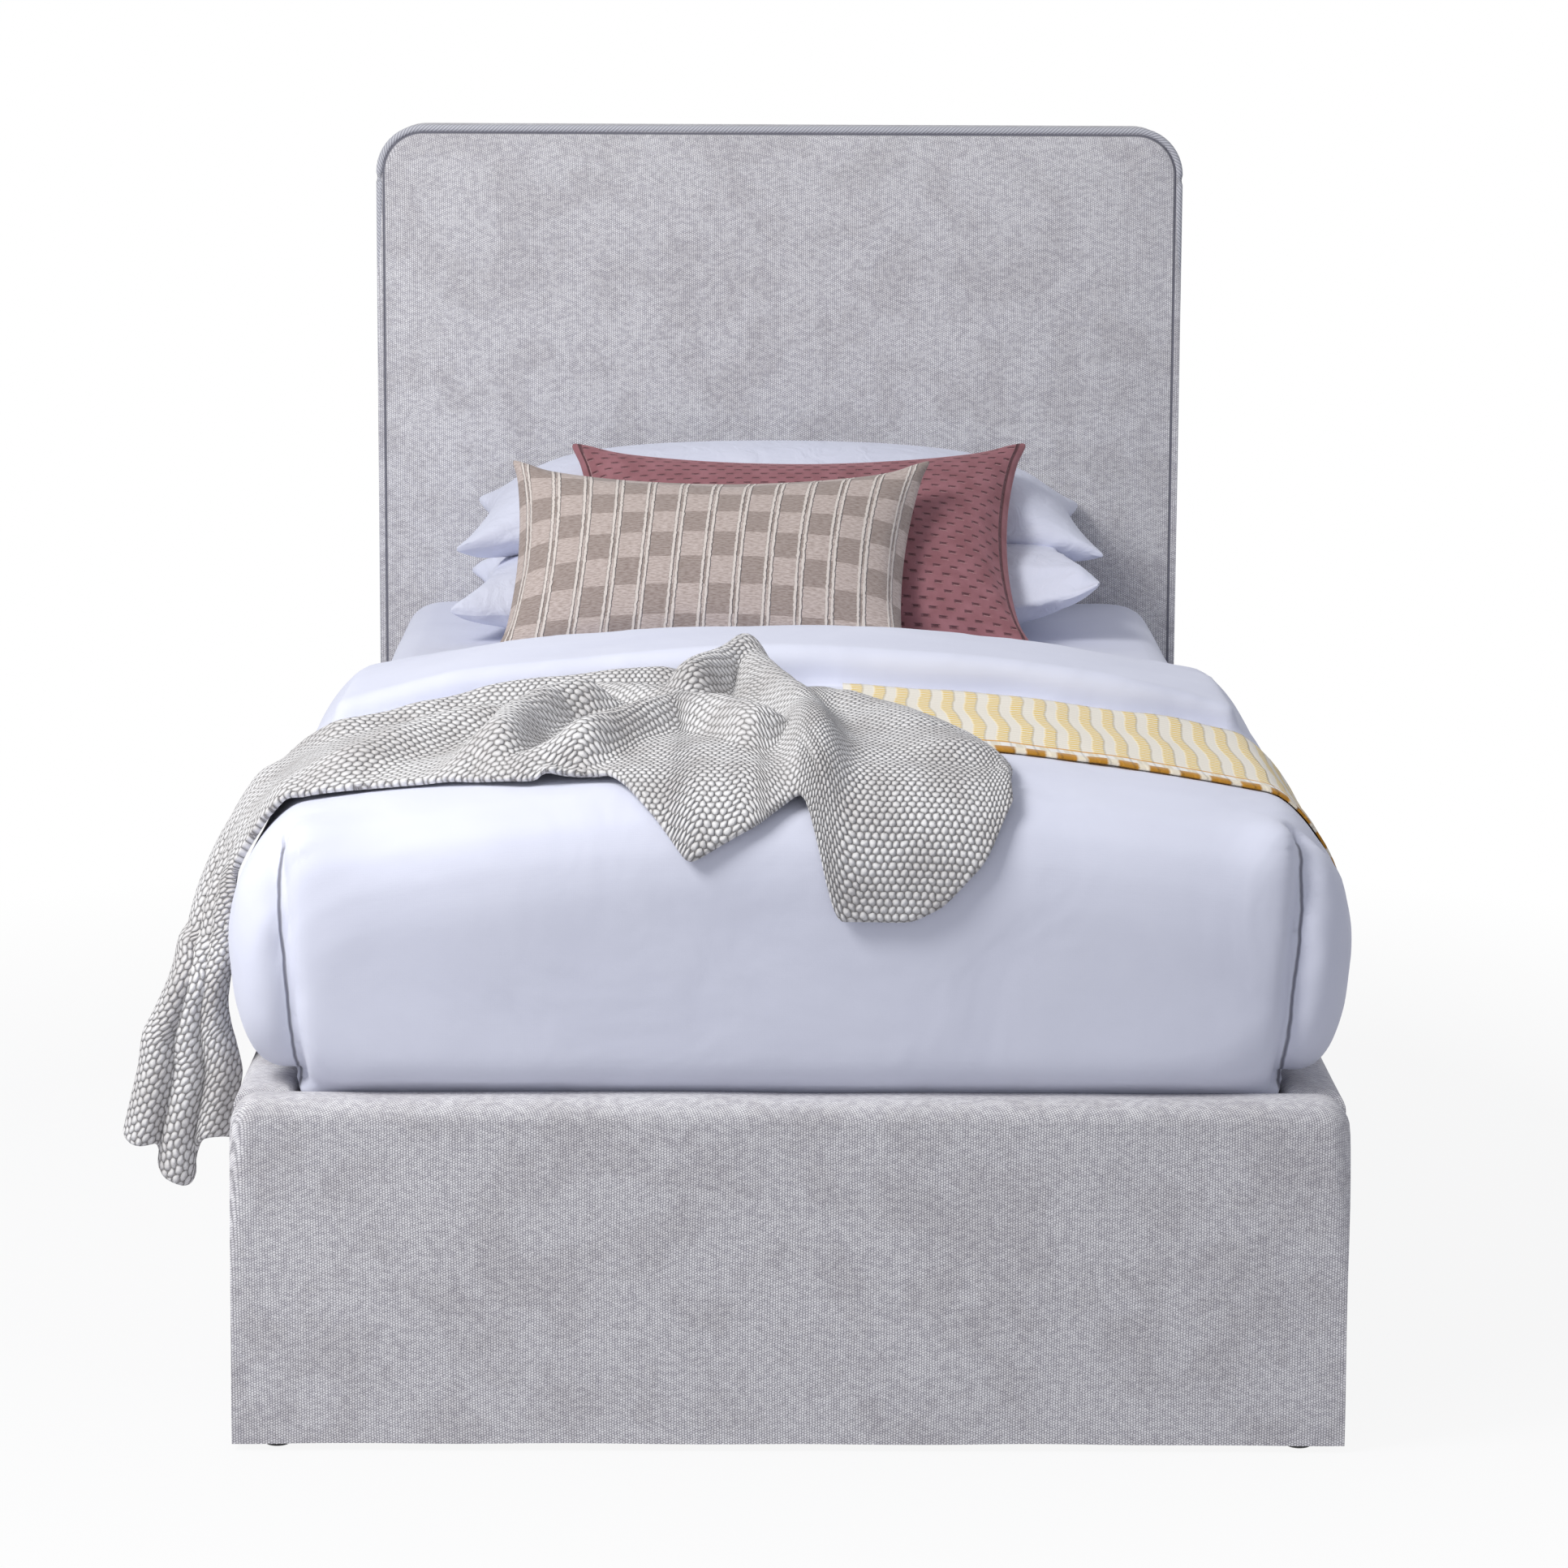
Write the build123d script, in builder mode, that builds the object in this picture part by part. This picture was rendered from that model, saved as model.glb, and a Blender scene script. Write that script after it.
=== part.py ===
from build123d import *
import math
import os

# Upholstered single bed with two drawers on castors in its right side, made up with its bedding.
# Millimetres. The origin is on the floor under the middle of the frame; +Z is up, +Y is towards the
# headboard, and +X is the side with the drawers.

os.makedirs("parts", exist_ok=True)

# whole bed
bed_width = 1040
bed_length = 2050
headboard_height = 1150
frame_top = 335
floor_gap = 7

# upholstery
cover_thick = 2
soft_gap = 0.3
overrun = 5

# headboard, from the back cloth forwards
headboard_depth = 85
headboard_corner = 63
back_cloth_thick = 1
back_cloth_inset = 6
head_timber_thick = 42
head_panel_thick = 9
head_roll = 14
piping_radius = 5
piping_proud = 3
piping_back = 10
piping_gap = 0.2
stile_width = 70
bottom_rail_height = 70
bracket_rail_low = 190
bracket_rail_height = 120
middle_rail_low = 640
middle_rail_height = 60
top_rail_height = 70

# footboard
footboard_depth = 50
foot_corner = 28
foot_roll = 20
foot_inner_roll = 10
foot_core_thick = 24
foot_core_inset = 13

# side rails
rail_thick = 60
rail_roll = 18
rail_low_roll = 3
rail_core_thick = 22
rail_top_foam = 18
right_rail_height = 100

# post between the drawers
post_width = 60
post_roll = 8

# ledgers and slats
ledger_thick = 25
ledger_height = 28
ledger_low = 240
ledger_end_gap = 45
slat_count = 14
slat_width = 64
slat_thick = 13
slat_end_gap = 5
slat_edge_gap = 60
holder_base = 4
holder_wall = 3
holder_length = 27
holder_drop = 2
holder_gap = 0.3

# corner brackets and their fasteners
bracket_leg = 40
bracket_thick = 4
bracket_height = 29
bracket_low = 237
bolt_radius = 3
bolt_head_radius = 5.5
bolt_head_height = 4
bolt_places = (15, 30)
bolt_gap = 0.2
head_bolt_bite = 62
foot_bolt_bite = 30
screw_bite = 20
screw_radius = 2.5

# glides
glide_radius = 12
glide_chamfer = 1
glide_inset = 40

# drawers
drawer_count = 2
drawer_side_gap = 4
drawer_front_low = 12
drawer_front_height = 200
drawer_front_depth = 32
drawer_front_corner = 6
drawer_front_roll = 12
drawer_board_thick = 18
drawer_box_inset = 20
drawer_box_depth = 608
drawer_wall = 12
drawer_wall_height = 140
drawer_bottom_thick = 6

# castors
wheel_radius = 20
wheel_width = 16
wheel_round = 2
wheel_recess = 3
wheel_rim = 6
hub_radius = 7
axle_radius = 2.5
axle_gap = 0.05
axle_head_radius = 4
axle_head = 1.5
fork_wall = 2
fork_side_gap = 0.4
fork_plate_length = 50
fork_plate_width = 40
fork_cheek_length = 16
fork_cheek_drop = 7
wheel_top_gap = 2
castor_front_inset = 58
castor_back_inset = 50
castor_side_inset = 40

# mattress and fitted sheet
mattress_height = 250
mattress_corner = 50
mattress_roll = 14
mattress_head_gap = 4
mattress_foot_gap = 11
mattress_side_gap = 10
sheet_thick = 1.2
sheet_low = 40

# duvet: the tucked skirt, the puffed body and the end folded back
duvet_tuck = 15
duvet_tuck_gap = 0.5
duvet_skirt_rise = 10
duvet_rail_gap = 1.6
duvet_bulge = 80
duvet_waist = 95
duvet_top = 95
duvet_shoulder = 47
duvet_shoulder_in = 62
duvet_head_inset = 866
duvet_foot_over = 29
duvet_flat = 34
duvet_side_shares = (0.62, 0.30)
duvet_upper_shares = (0.86, 0.55)
fold_shares = (0.543, 0.835)
fold_thick = 28
fold_lift = 5
fold_sink = 30

# pillows and cushions: width, length, crown above and below the middle, distance of the middle from the
# headboard, rise of the middle above the sheet, tilt, and place across the bed
pillow_edge = 7
pillow_side_gap = 50
pillow_lower_length = 425
pillow_lower_crown = 62
pillow_lower_under = 30
pillow_lower_inset = 219
pillow_upper_length = 300
pillow_upper_crown = 72
pillow_upper_under = 30
pillow_upper_inset = 162
pillow_upper_rise = 134.4
pillow_upper_tilt = 6
rose_width = 590
rose_length = 385
rose_crown = 48
rose_under = 26
rose_x = 22
rose_inset = 372
rose_rise = 116.3
rose_tilt = 36
check_width = 500
check_length = 292
check_crown = 52
check_under = 30
check_x = -75
check_inset = 500
check_rise = 111.2
check_tilt = 48
pillow_draw_share = 0.05
pillow_end_share = 0.12
pillow_steps = 8

# throws
knit_thick = 12
knit_lift = 1
knit_near_gap = 14
knit_far_share = 0.520
knit_low = 225
knit_hang_top = 445
knit_hang_gap = 3
knit_fold_share = 0.47
knit_fold_count = 3
knit_right_x = 190
knit_step_x = 50
knit_step_lap = 20
knit_tail_lap = 40
tail_left_x = -150
tail_left_width = 130
tail_left_low = 530
tail_right_x = 45
tail_right_width = 140
tail_right_low = 505
yellow_thick = 5
yellow_lift = 0.5
yellow_shares = (0.181, 0.524)
yellow_left_x = 56

# derived places
half_width = bed_width / 2
foot_y = -bed_length / 2
head_y = bed_length / 2
head_face_y = head_y - headboard_depth
foot_inner_y = foot_y + footboard_depth
inner_x = half_width - rail_thick
inner_length = head_face_y - foot_inner_y
inner_middle_y = (head_face_y + foot_inner_y) / 2
right_rail_low = frame_top - right_rail_height
band_half = half_width - piping_proud
band_top = headboard_height - piping_proud
slat_low = ledger_low + ledger_height + holder_base
slat_top = slat_low + slat_thick
mattress_top = slat_top + mattress_height
mattress_width = inner_x + inner_x - mattress_side_gap - mattress_side_gap
mattress_length = inner_length - mattress_head_gap - mattress_foot_gap
mattress_y = head_face_y - mattress_head_gap - mattress_length / 2
sheet_out = soft_gap + sheet_thick
sheet_top = mattress_top + sheet_out
void_half = mattress_width / 2 + sheet_out + soft_gap
void_foot_y = mattress_y - mattress_length / 2 - sheet_out - soft_gap
void_top = sheet_top + soft_gap
bracket_middle = bracket_low + bracket_height / 2
duvet_head_y = head_face_y - duvet_head_inset
duvet_length = duvet_head_y - foot_inner_y
fold_front_y = foot_inner_y + duvet_length * fold_shares[0]
fold_back_y = foot_inner_y + duvet_length * fold_shares[1]
pillow_width = mattress_width - pillow_side_gap - pillow_side_gap


def save(piece, name):
    """Label a finished piece and write its STEP file."""
    piece.label = name
    export_step(piece, f"parts/{name}.step")


def facing_foot(depth):
    """Plane across the bed at a depth from the headboard's back, its normal towards the foot."""
    return Plane(origin=(0, head_y - depth, floor_gap), x_dir=(1, 0, 0), z_dir=(0, -1, 0))


def arch(plane, width, height, corner):
    """Sketch of an upright panel with square feet and two rounded top corners."""
    with BuildSketch(plane) as face:
        Rectangle(width, height, align=(Align.CENTER, Align.MIN))
        fillet(face.vertices().group_by(Axis.Y)[-1], corner)
    return face.sketch


def front_rim(part, y, low):
    """Edges round the face at y, without the one along its foot."""
    rim = part.faces().filter_by(Axis.Y).sort_by(lambda face: abs(face.center().Y - y))[0].edges()
    return [edge for edge in rim if edge.center().Z > low]


# headboard
frame_depth = back_cloth_thick
panel_depth = frame_depth + head_timber_thick
foam_depth = panel_depth + head_panel_thick
face_depth = headboard_depth - cover_thick
band_height = band_top - floor_gap
pad_half = band_half - cover_thick
pad_height = band_height - cover_thick
band_corner = headboard_corner - piping_proud
pad_corner = band_corner - cover_thick
piping_half = half_width - piping_radius
piping_height = headboard_height - piping_radius - floor_gap
piping_corner = headboard_corner - piping_radius


def welt(radius):
    """Round cord along the front edge of the headboard, up one side and down the other."""
    with BuildPart() as cord:
        with BuildLine(facing_foot(headboard_depth - piping_back)) as path:
            FilletPolyline(
                (-piping_half, 0),
                (-piping_half, piping_height),
                (piping_half, piping_height),
                (piping_half, 0),
                radius=piping_corner,
            )
        with BuildSketch(Plane(origin=path.line @ 0, z_dir=path.line % 0)):
            Circle(radius)
        sweep(path=path.line)
    return cord.part


def fastener_row(y, length, radius):
    """Rods along Y for the bolts of the two brackets at one end of the bed, starting at y."""
    with BuildPart() as rods:
        with BuildSketch(Plane(origin=(0, y, bracket_middle), x_dir=(1, 0, 0), z_dir=(0, 1, 0))):
            for place in bolt_places:
                for side in (-1, 1):
                    with Locations((side * (inner_x - place), 0)):
                        Circle(radius)
        extrude(amount=length)
    return rods.part


def side_row(side, radius, start, length):
    """Rods along X into one side rail, for the screws of its two brackets."""
    corners = [(foot_inner_y, 1), (head_face_y, -1)]
    with BuildPart() as rods:
        for end_y, towards in corners:
            for place in bolt_places:
                base = Plane(
                    origin=(side * (inner_x - start), end_y + towards * place, bracket_middle),
                    x_dir=(0, 1, 0),
                    z_dir=(side, 0, 0),
                )
                with BuildSketch(base):
                    Circle(radius)
                extrude(amount=length)
    return rods.part


bolt_hole_radius = bolt_radius + bolt_gap
head_holes = fastener_row(head_face_y - overrun, head_bolt_bite + overrun, bolt_hole_radius)
foot_holes = fastener_row(foot_inner_y + overrun, -foot_bolt_bite - overrun, bolt_hole_radius)

with BuildPart() as headboard_back_cloth:
    back_half = pad_half - back_cloth_inset
    back_height = pad_height - back_cloth_inset
    back_corner = pad_corner - back_cloth_inset
    extrude(arch(facing_foot(0), back_half + back_half, back_height, back_corner), amount=back_cloth_thick)
save(headboard_back_cloth.part, "headboard_back_cloth")

with BuildPart() as headboard_frame:
    outline = arch(facing_foot(frame_depth), pad_half + pad_half, pad_height, pad_corner)
    extrude(outline, amount=head_timber_thick)
    bay_lows = [
        bottom_rail_height,
        bracket_rail_low + bracket_rail_height,
        middle_rail_low + middle_rail_height,
    ]
    bay_highs = [bracket_rail_low, middle_rail_low, pad_height - top_rail_height]
    for bay_low, bay_high in zip(bay_lows, bay_highs):
        with BuildSketch(facing_foot(frame_depth)):
            with Locations((0, bay_low)):
                bay_width = pad_half + pad_half - stile_width - stile_width
                Rectangle(bay_width, bay_high - bay_low, align=(Align.CENTER, Align.MIN))
        extrude(amount=head_timber_thick, mode=Mode.SUBTRACT)
    add(head_holes, mode=Mode.SUBTRACT)
save(headboard_frame.part, "headboard_frame")

with BuildPart() as headboard_panel:
    outline = arch(facing_foot(panel_depth), pad_half + pad_half, pad_height, pad_corner)
    extrude(outline, amount=head_panel_thick)
    add(head_holes, mode=Mode.SUBTRACT)
save(headboard_panel.part, "headboard_panel")


def head_block(start, reach, half, height, corner, roll):
    """Upright block of the headboard's outline whose front edge is rolled over."""
    with BuildPart() as block:
        extrude(arch(facing_foot(start), half + half, height, corner), amount=reach - start)
        fillet(front_rim(block.part, head_y - reach, floor_gap), roll)
    return block.part


pad_roll = head_roll - cover_thick
head_groove = welt(piping_radius + piping_gap)

with BuildPart() as headboard_foam:
    add(head_block(foam_depth, face_depth, pad_half, pad_height, pad_corner, pad_roll))
    add(head_groove, mode=Mode.SUBTRACT)
    add(head_holes, mode=Mode.SUBTRACT)
save(headboard_foam.part, "headboard_foam")

with BuildPart() as headboard_cover:
    add(head_block(frame_depth, headboard_depth, band_half, band_height, band_corner, head_roll))
    add(
        head_block(frame_depth, face_depth, pad_half, pad_height, pad_corner, pad_roll),
        mode=Mode.SUBTRACT,
    )
    add(head_groove, mode=Mode.SUBTRACT)
    add(head_holes, mode=Mode.SUBTRACT)
save(headboard_cover.part, "headboard_cover")

headboard_piping = welt(piping_radius)
save(headboard_piping, "headboard_piping")

# footboard
foot_height = frame_top - floor_gap


def foot_block(inset, depth_out, depth_in, outer_roll, inner_roll):
    """Upright block of the footboard, rolled along its outer and inner faces."""
    outer_y = foot_y + depth_out
    inner_y = foot_inner_y - depth_in
    start = head_y - inner_y
    with BuildPart() as block:
        width = bed_width - inset - inset
        outline = arch(facing_foot(start), width, foot_height - inset, foot_corner - inset)
        extrude(outline, amount=inner_y - outer_y)
        fillet(front_rim(block.part, outer_y, floor_gap), outer_roll)
        fillet(front_rim(block.part, inner_y, floor_gap), inner_roll)
    return block.part


foot_core_y = foot_y + foot_core_inset
foot_core_end_y = foot_core_y + foot_core_thick
foot_padding = foot_block(
    cover_thick,
    cover_thick,
    cover_thick,
    foot_roll - cover_thick,
    foot_inner_roll - cover_thick,
)

with BuildPart() as footboard_core:
    core_width = bed_width - foot_core_inset - foot_core_inset
    core_plane = facing_foot(head_y - foot_core_end_y)
    outline = arch(core_plane, core_width, foot_height - foot_core_inset, foot_corner - foot_core_inset)
    extrude(outline, amount=foot_core_thick)
footboard_core_block = footboard_core.part
with BuildPart() as footboard_core_drilled:
    add(footboard_core_block)
    add(foot_holes, mode=Mode.SUBTRACT)
save(footboard_core_drilled.part, "footboard_core")

with BuildPart() as footboard_foam:
    add(foot_padding)
    add(footboard_core_block, mode=Mode.SUBTRACT)
    add(foot_holes, mode=Mode.SUBTRACT)
save(footboard_foam.part, "footboard_foam")

with BuildPart() as footboard_cover:
    add(foot_block(0, 0, 0, foot_roll, foot_inner_roll))
    add(foot_padding, mode=Mode.SUBTRACT)
    add(foot_holes, mode=Mode.SUBTRACT)
save(footboard_cover.part, "footboard_cover")

# side rails
rail_plane = Plane(origin=(0, head_face_y, 0), x_dir=(1, 0, 0), z_dir=(0, -1, 0))


def rail_sketch(side, inset, low, core=False):
    """Cross-section of a side rail's padding, its cover's outside or its board."""
    wide = rail_thick - inset - inset
    tall = frame_top - inset - low
    with BuildSketch(rail_plane) as section:
        if core:
            core_x = side * (inner_x + cover_thick + rail_core_thick / 2)
            with Locations((core_x, low)):
                top_gap = rail_top_foam + cover_thick
                Rectangle(rail_core_thick, frame_top - top_gap - low, align=(Align.CENTER, Align.MIN))
        else:
            with Locations((side * (inner_x + rail_thick / 2), low)):
                Rectangle(wide, tall, align=(Align.CENTER, Align.MIN))
            fillet(section.vertices().group_by(Axis.Y)[-1], rail_roll - inset)
            if not inset:
                fillet(section.vertices().group_by(Axis.Y)[0], rail_low_roll)
    return section.sketch


def build_rail(name, side, low):
    """One side rail: board, foam and cover, drilled for the bracket screws."""
    inner_low = low + cover_thick
    holes = side_row(side, screw_radius + bolt_gap, overrun, overrun + screw_bite)
    with BuildPart() as core:
        extrude(rail_sketch(side, 0, inner_low, core=True), amount=inner_length)
        add(holes, mode=Mode.SUBTRACT)
    save(core.part, f"{name}_core")
    with BuildPart() as foam:
        board = rail_sketch(side, 0, inner_low, core=True)
        extrude(rail_sketch(side, cover_thick, inner_low), amount=inner_length)
        extrude(board, amount=inner_length, mode=Mode.SUBTRACT)
    save(foam.part, f"{name}_foam")
    with BuildPart() as cover:
        padding = rail_sketch(side, cover_thick, inner_low)
        extrude(rail_sketch(side, 0, low), amount=inner_length)
        extrude(padding, amount=inner_length, mode=Mode.SUBTRACT)
        add(holes, mode=Mode.SUBTRACT)
    save(cover.part, f"{name}_cover")


build_rail("left_rail", -1, floor_gap)
build_rail("right_rail", 1, right_rail_low)

for side_name, side in (("left", -1), ("right", 1)):
    with BuildPart() as ledger:
        with BuildSketch(Plane.XY.offset(ledger_low)):
            with Locations((side * (inner_x - ledger_thick / 2), inner_middle_y)):
                Rectangle(ledger_thick, inner_length - ledger_end_gap - ledger_end_gap)
        extrude(amount=ledger_height)
    save(ledger.part, f"{side_name}_ledger")

# post that carries the right rail between the drawers
post_x = inner_x + rail_thick / 2
with BuildPart() as middle_post_core:
    with BuildSketch(Plane.XY.offset(floor_gap)):
        with Locations((post_x, inner_middle_y)):
            core_side = rail_thick - cover_thick - cover_thick
            RectangleRounded(core_side, post_width - cover_thick - cover_thick, post_roll - cover_thick)
    extrude(amount=right_rail_low - floor_gap)
save(middle_post_core.part, "middle_post_core")

with BuildPart() as middle_post_cover:
    with BuildSketch(Plane.XY.offset(floor_gap)):
        with Locations((post_x, inner_middle_y)):
            core_side = rail_thick - cover_thick - cover_thick
            RectangleRounded(rail_thick, post_width, post_roll)
            RectangleRounded(
                core_side,
                post_width - cover_thick - cover_thick,
                post_roll - cover_thick,
                mode=Mode.SUBTRACT,
            )
    extrude(amount=right_rail_low - floor_gap)
save(middle_post_cover.part, "middle_post_cover")

# brackets, bolts and screws
head_bolts = fastener_row(head_face_y - bracket_thick, head_bolt_bite, bolt_radius)
head_bolt_heads = fastener_row(head_face_y - bracket_thick, -bolt_head_height, bolt_head_radius)
foot_bolts = fastener_row(foot_inner_y + bracket_thick, -foot_bolt_bite, bolt_radius)
foot_bolt_heads = fastener_row(foot_inner_y + bracket_thick, bolt_head_height, bolt_head_radius)

with BuildPart() as corner_brackets:
    for side in (-1, 1):
        for end_y, towards in ((foot_inner_y, 1), (head_face_y, -1)):
            with BuildSketch(Plane.XY.offset(bracket_low)):
                with BuildLine():
                    Polyline(
                        (side * inner_x, end_y),
                        (side * inner_x, end_y + towards * bracket_leg),
                        (side * (inner_x - bracket_thick), end_y + towards * bracket_leg),
                        (side * (inner_x - bracket_thick), end_y + towards * bracket_thick),
                        (side * (inner_x - bracket_leg), end_y + towards * bracket_thick),
                        (side * (inner_x - bracket_leg), end_y),
                        close=True,
                    )
                make_face()
    extrude(amount=bracket_height)
    add(head_holes, mode=Mode.SUBTRACT)
    add(foot_holes, mode=Mode.SUBTRACT)
    for side in (-1, 1):
        add(side_row(side, screw_radius + bolt_gap, overrun, overrun), mode=Mode.SUBTRACT)
save(corner_brackets.part, "corner_brackets")

with BuildPart() as corner_bolts:
    add(head_bolts)
    add(head_bolt_heads)
    add(foot_bolts)
    add(foot_bolt_heads)
save(corner_bolts.part, "corner_bolts")

with BuildPart() as corner_screws:
    for side in (-1, 1):
        add(side_row(side, screw_radius, bracket_thick, bracket_thick + screw_bite - bolt_gap))
        add(side_row(side, bolt_head_radius, bracket_thick, -bolt_head_height))
save(corner_screws.part, "corner_screws")

# glides
foot_glide_y = foot_core_y + foot_core_thick / 2
head_glide_y = head_y - frame_depth - head_timber_thick / 2
glide_places = [
    (-half_width + glide_inset, foot_glide_y),
    (half_width - glide_inset, foot_glide_y),
    (-half_width + glide_inset, head_glide_y),
    (half_width - glide_inset, head_glide_y),
    (post_x, inner_middle_y),
]
with BuildPart() as glides:
    with BuildSketch(Plane.XY):
        with Locations(*glide_places):
            Circle(glide_radius)
    extrude(amount=floor_gap)
    chamfer(glides.edges().group_by(Axis.Z)[0], glide_chamfer)
save(glides.part, "glides")

# slatted base
slat_half = inner_x - slat_end_gap
slat_first_y = foot_inner_y + slat_edge_gap
slat_last_y = head_face_y - slat_edge_gap
slat_pitch = (slat_last_y - slat_first_y) / (slat_count - 1)
slat_rows = [slat_first_y + slat_pitch * i for i in range(slat_count)]
holder_low = ledger_low + ledger_height
holder_half = inner_x - soft_gap

with BuildPart() as slats:
    with BuildSketch(Plane.XY.offset(slat_low)):
        with Locations(*[(0, row) for row in slat_rows]):
            Rectangle(slat_half + slat_half, slat_width)
    extrude(amount=slat_thick)
save(slats.part, "slats")

with BuildPart() as slat_holders:
    for side in (-1, 1):
        places = [(side * (holder_half - holder_length / 2), row) for row in slat_rows]
        with BuildSketch(Plane.XY.offset(holder_low)):
            with Locations(*places):
                Rectangle(holder_length, slat_width + holder_wall + holder_wall + holder_gap + holder_gap)
    extrude(amount=holder_base + slat_thick - holder_drop)
    with BuildSketch(Plane.XY.offset(slat_low)):
        with Locations(*[(0, row) for row in slat_rows]):
            pocket_half = slat_half + holder_gap
            Rectangle(pocket_half + pocket_half, slat_width + holder_gap + holder_gap)
    extrude(amount=slat_thick, mode=Mode.SUBTRACT)
save(slat_holders.part, "slat_holders")

# drawers
bay_length = (inner_length - post_width) / drawer_count
front_width = bay_length - drawer_side_gap - drawer_side_gap
front_back_x = half_width - drawer_front_depth
box_half = front_width / 2 - drawer_box_inset
box_back_x = front_back_x - drawer_box_depth
box_low = wheel_radius + wheel_radius + wheel_top_gap + fork_wall
wall_low = box_low + drawer_bottom_thick
fork_half = wheel_width / 2 + fork_side_gap + fork_wall
castor_front_x = front_back_x - castor_front_inset
castor_back_x = box_back_x + castor_back_inset


def front_plane(depth, centre_y):
    """Plane on the drawer front at a depth from its back, its normal out of the bed."""
    return Plane(
        origin=(front_back_x + depth, centre_y, drawer_front_low + drawer_front_height / 2),
        x_dir=(0, 1, 0),
        z_dir=(1, 0, 0),
    )


def front_block(centre_y, start, inset, reach, roll):
    """Block of the drawer front with its outer edges rolled over."""
    with BuildPart() as block:
        with BuildSketch(front_plane(start, centre_y)):
            RectangleRounded(
                front_width - inset - inset,
                drawer_front_height - inset - inset,
                drawer_front_corner - inset,
            )
        extrude(amount=reach - start)
        fillet(block.faces().filter_by(Axis.X).sort_by(Axis.X)[-1].edges(), roll)
    return block.part


def wheel_body(x, y):
    """Castor wheel with a rounded tread, recessed sides and a bore."""
    with BuildPart() as wheel:
        with BuildSketch(Plane(origin=(x, y, wheel_radius), x_dir=(1, 0, 0), z_dir=(0, 1, 0))):
            Circle(wheel_radius)
        extrude(amount=wheel_width / 2, both=True)
        fillet(wheel.edges().filter_by(GeomType.CIRCLE), wheel_round)
        for turn in (-1, 1):
            recess = Plane(
                origin=(x, y + turn * wheel_width / 2, wheel_radius),
                x_dir=(1, 0, 0),
                z_dir=(0, -turn, 0),
            )
            with BuildSketch(recess):
                Circle(wheel_radius - wheel_rim)
                Circle(hub_radius, mode=Mode.SUBTRACT)
            extrude(amount=wheel_recess, mode=Mode.SUBTRACT)
        with BuildSketch(Plane(origin=(x, y, wheel_radius), x_dir=(1, 0, 0), z_dir=(0, 1, 0))):
            Circle(axle_radius + axle_gap)
        extrude(amount=wheel_width, both=True, mode=Mode.SUBTRACT)
    return wheel.part


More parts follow.
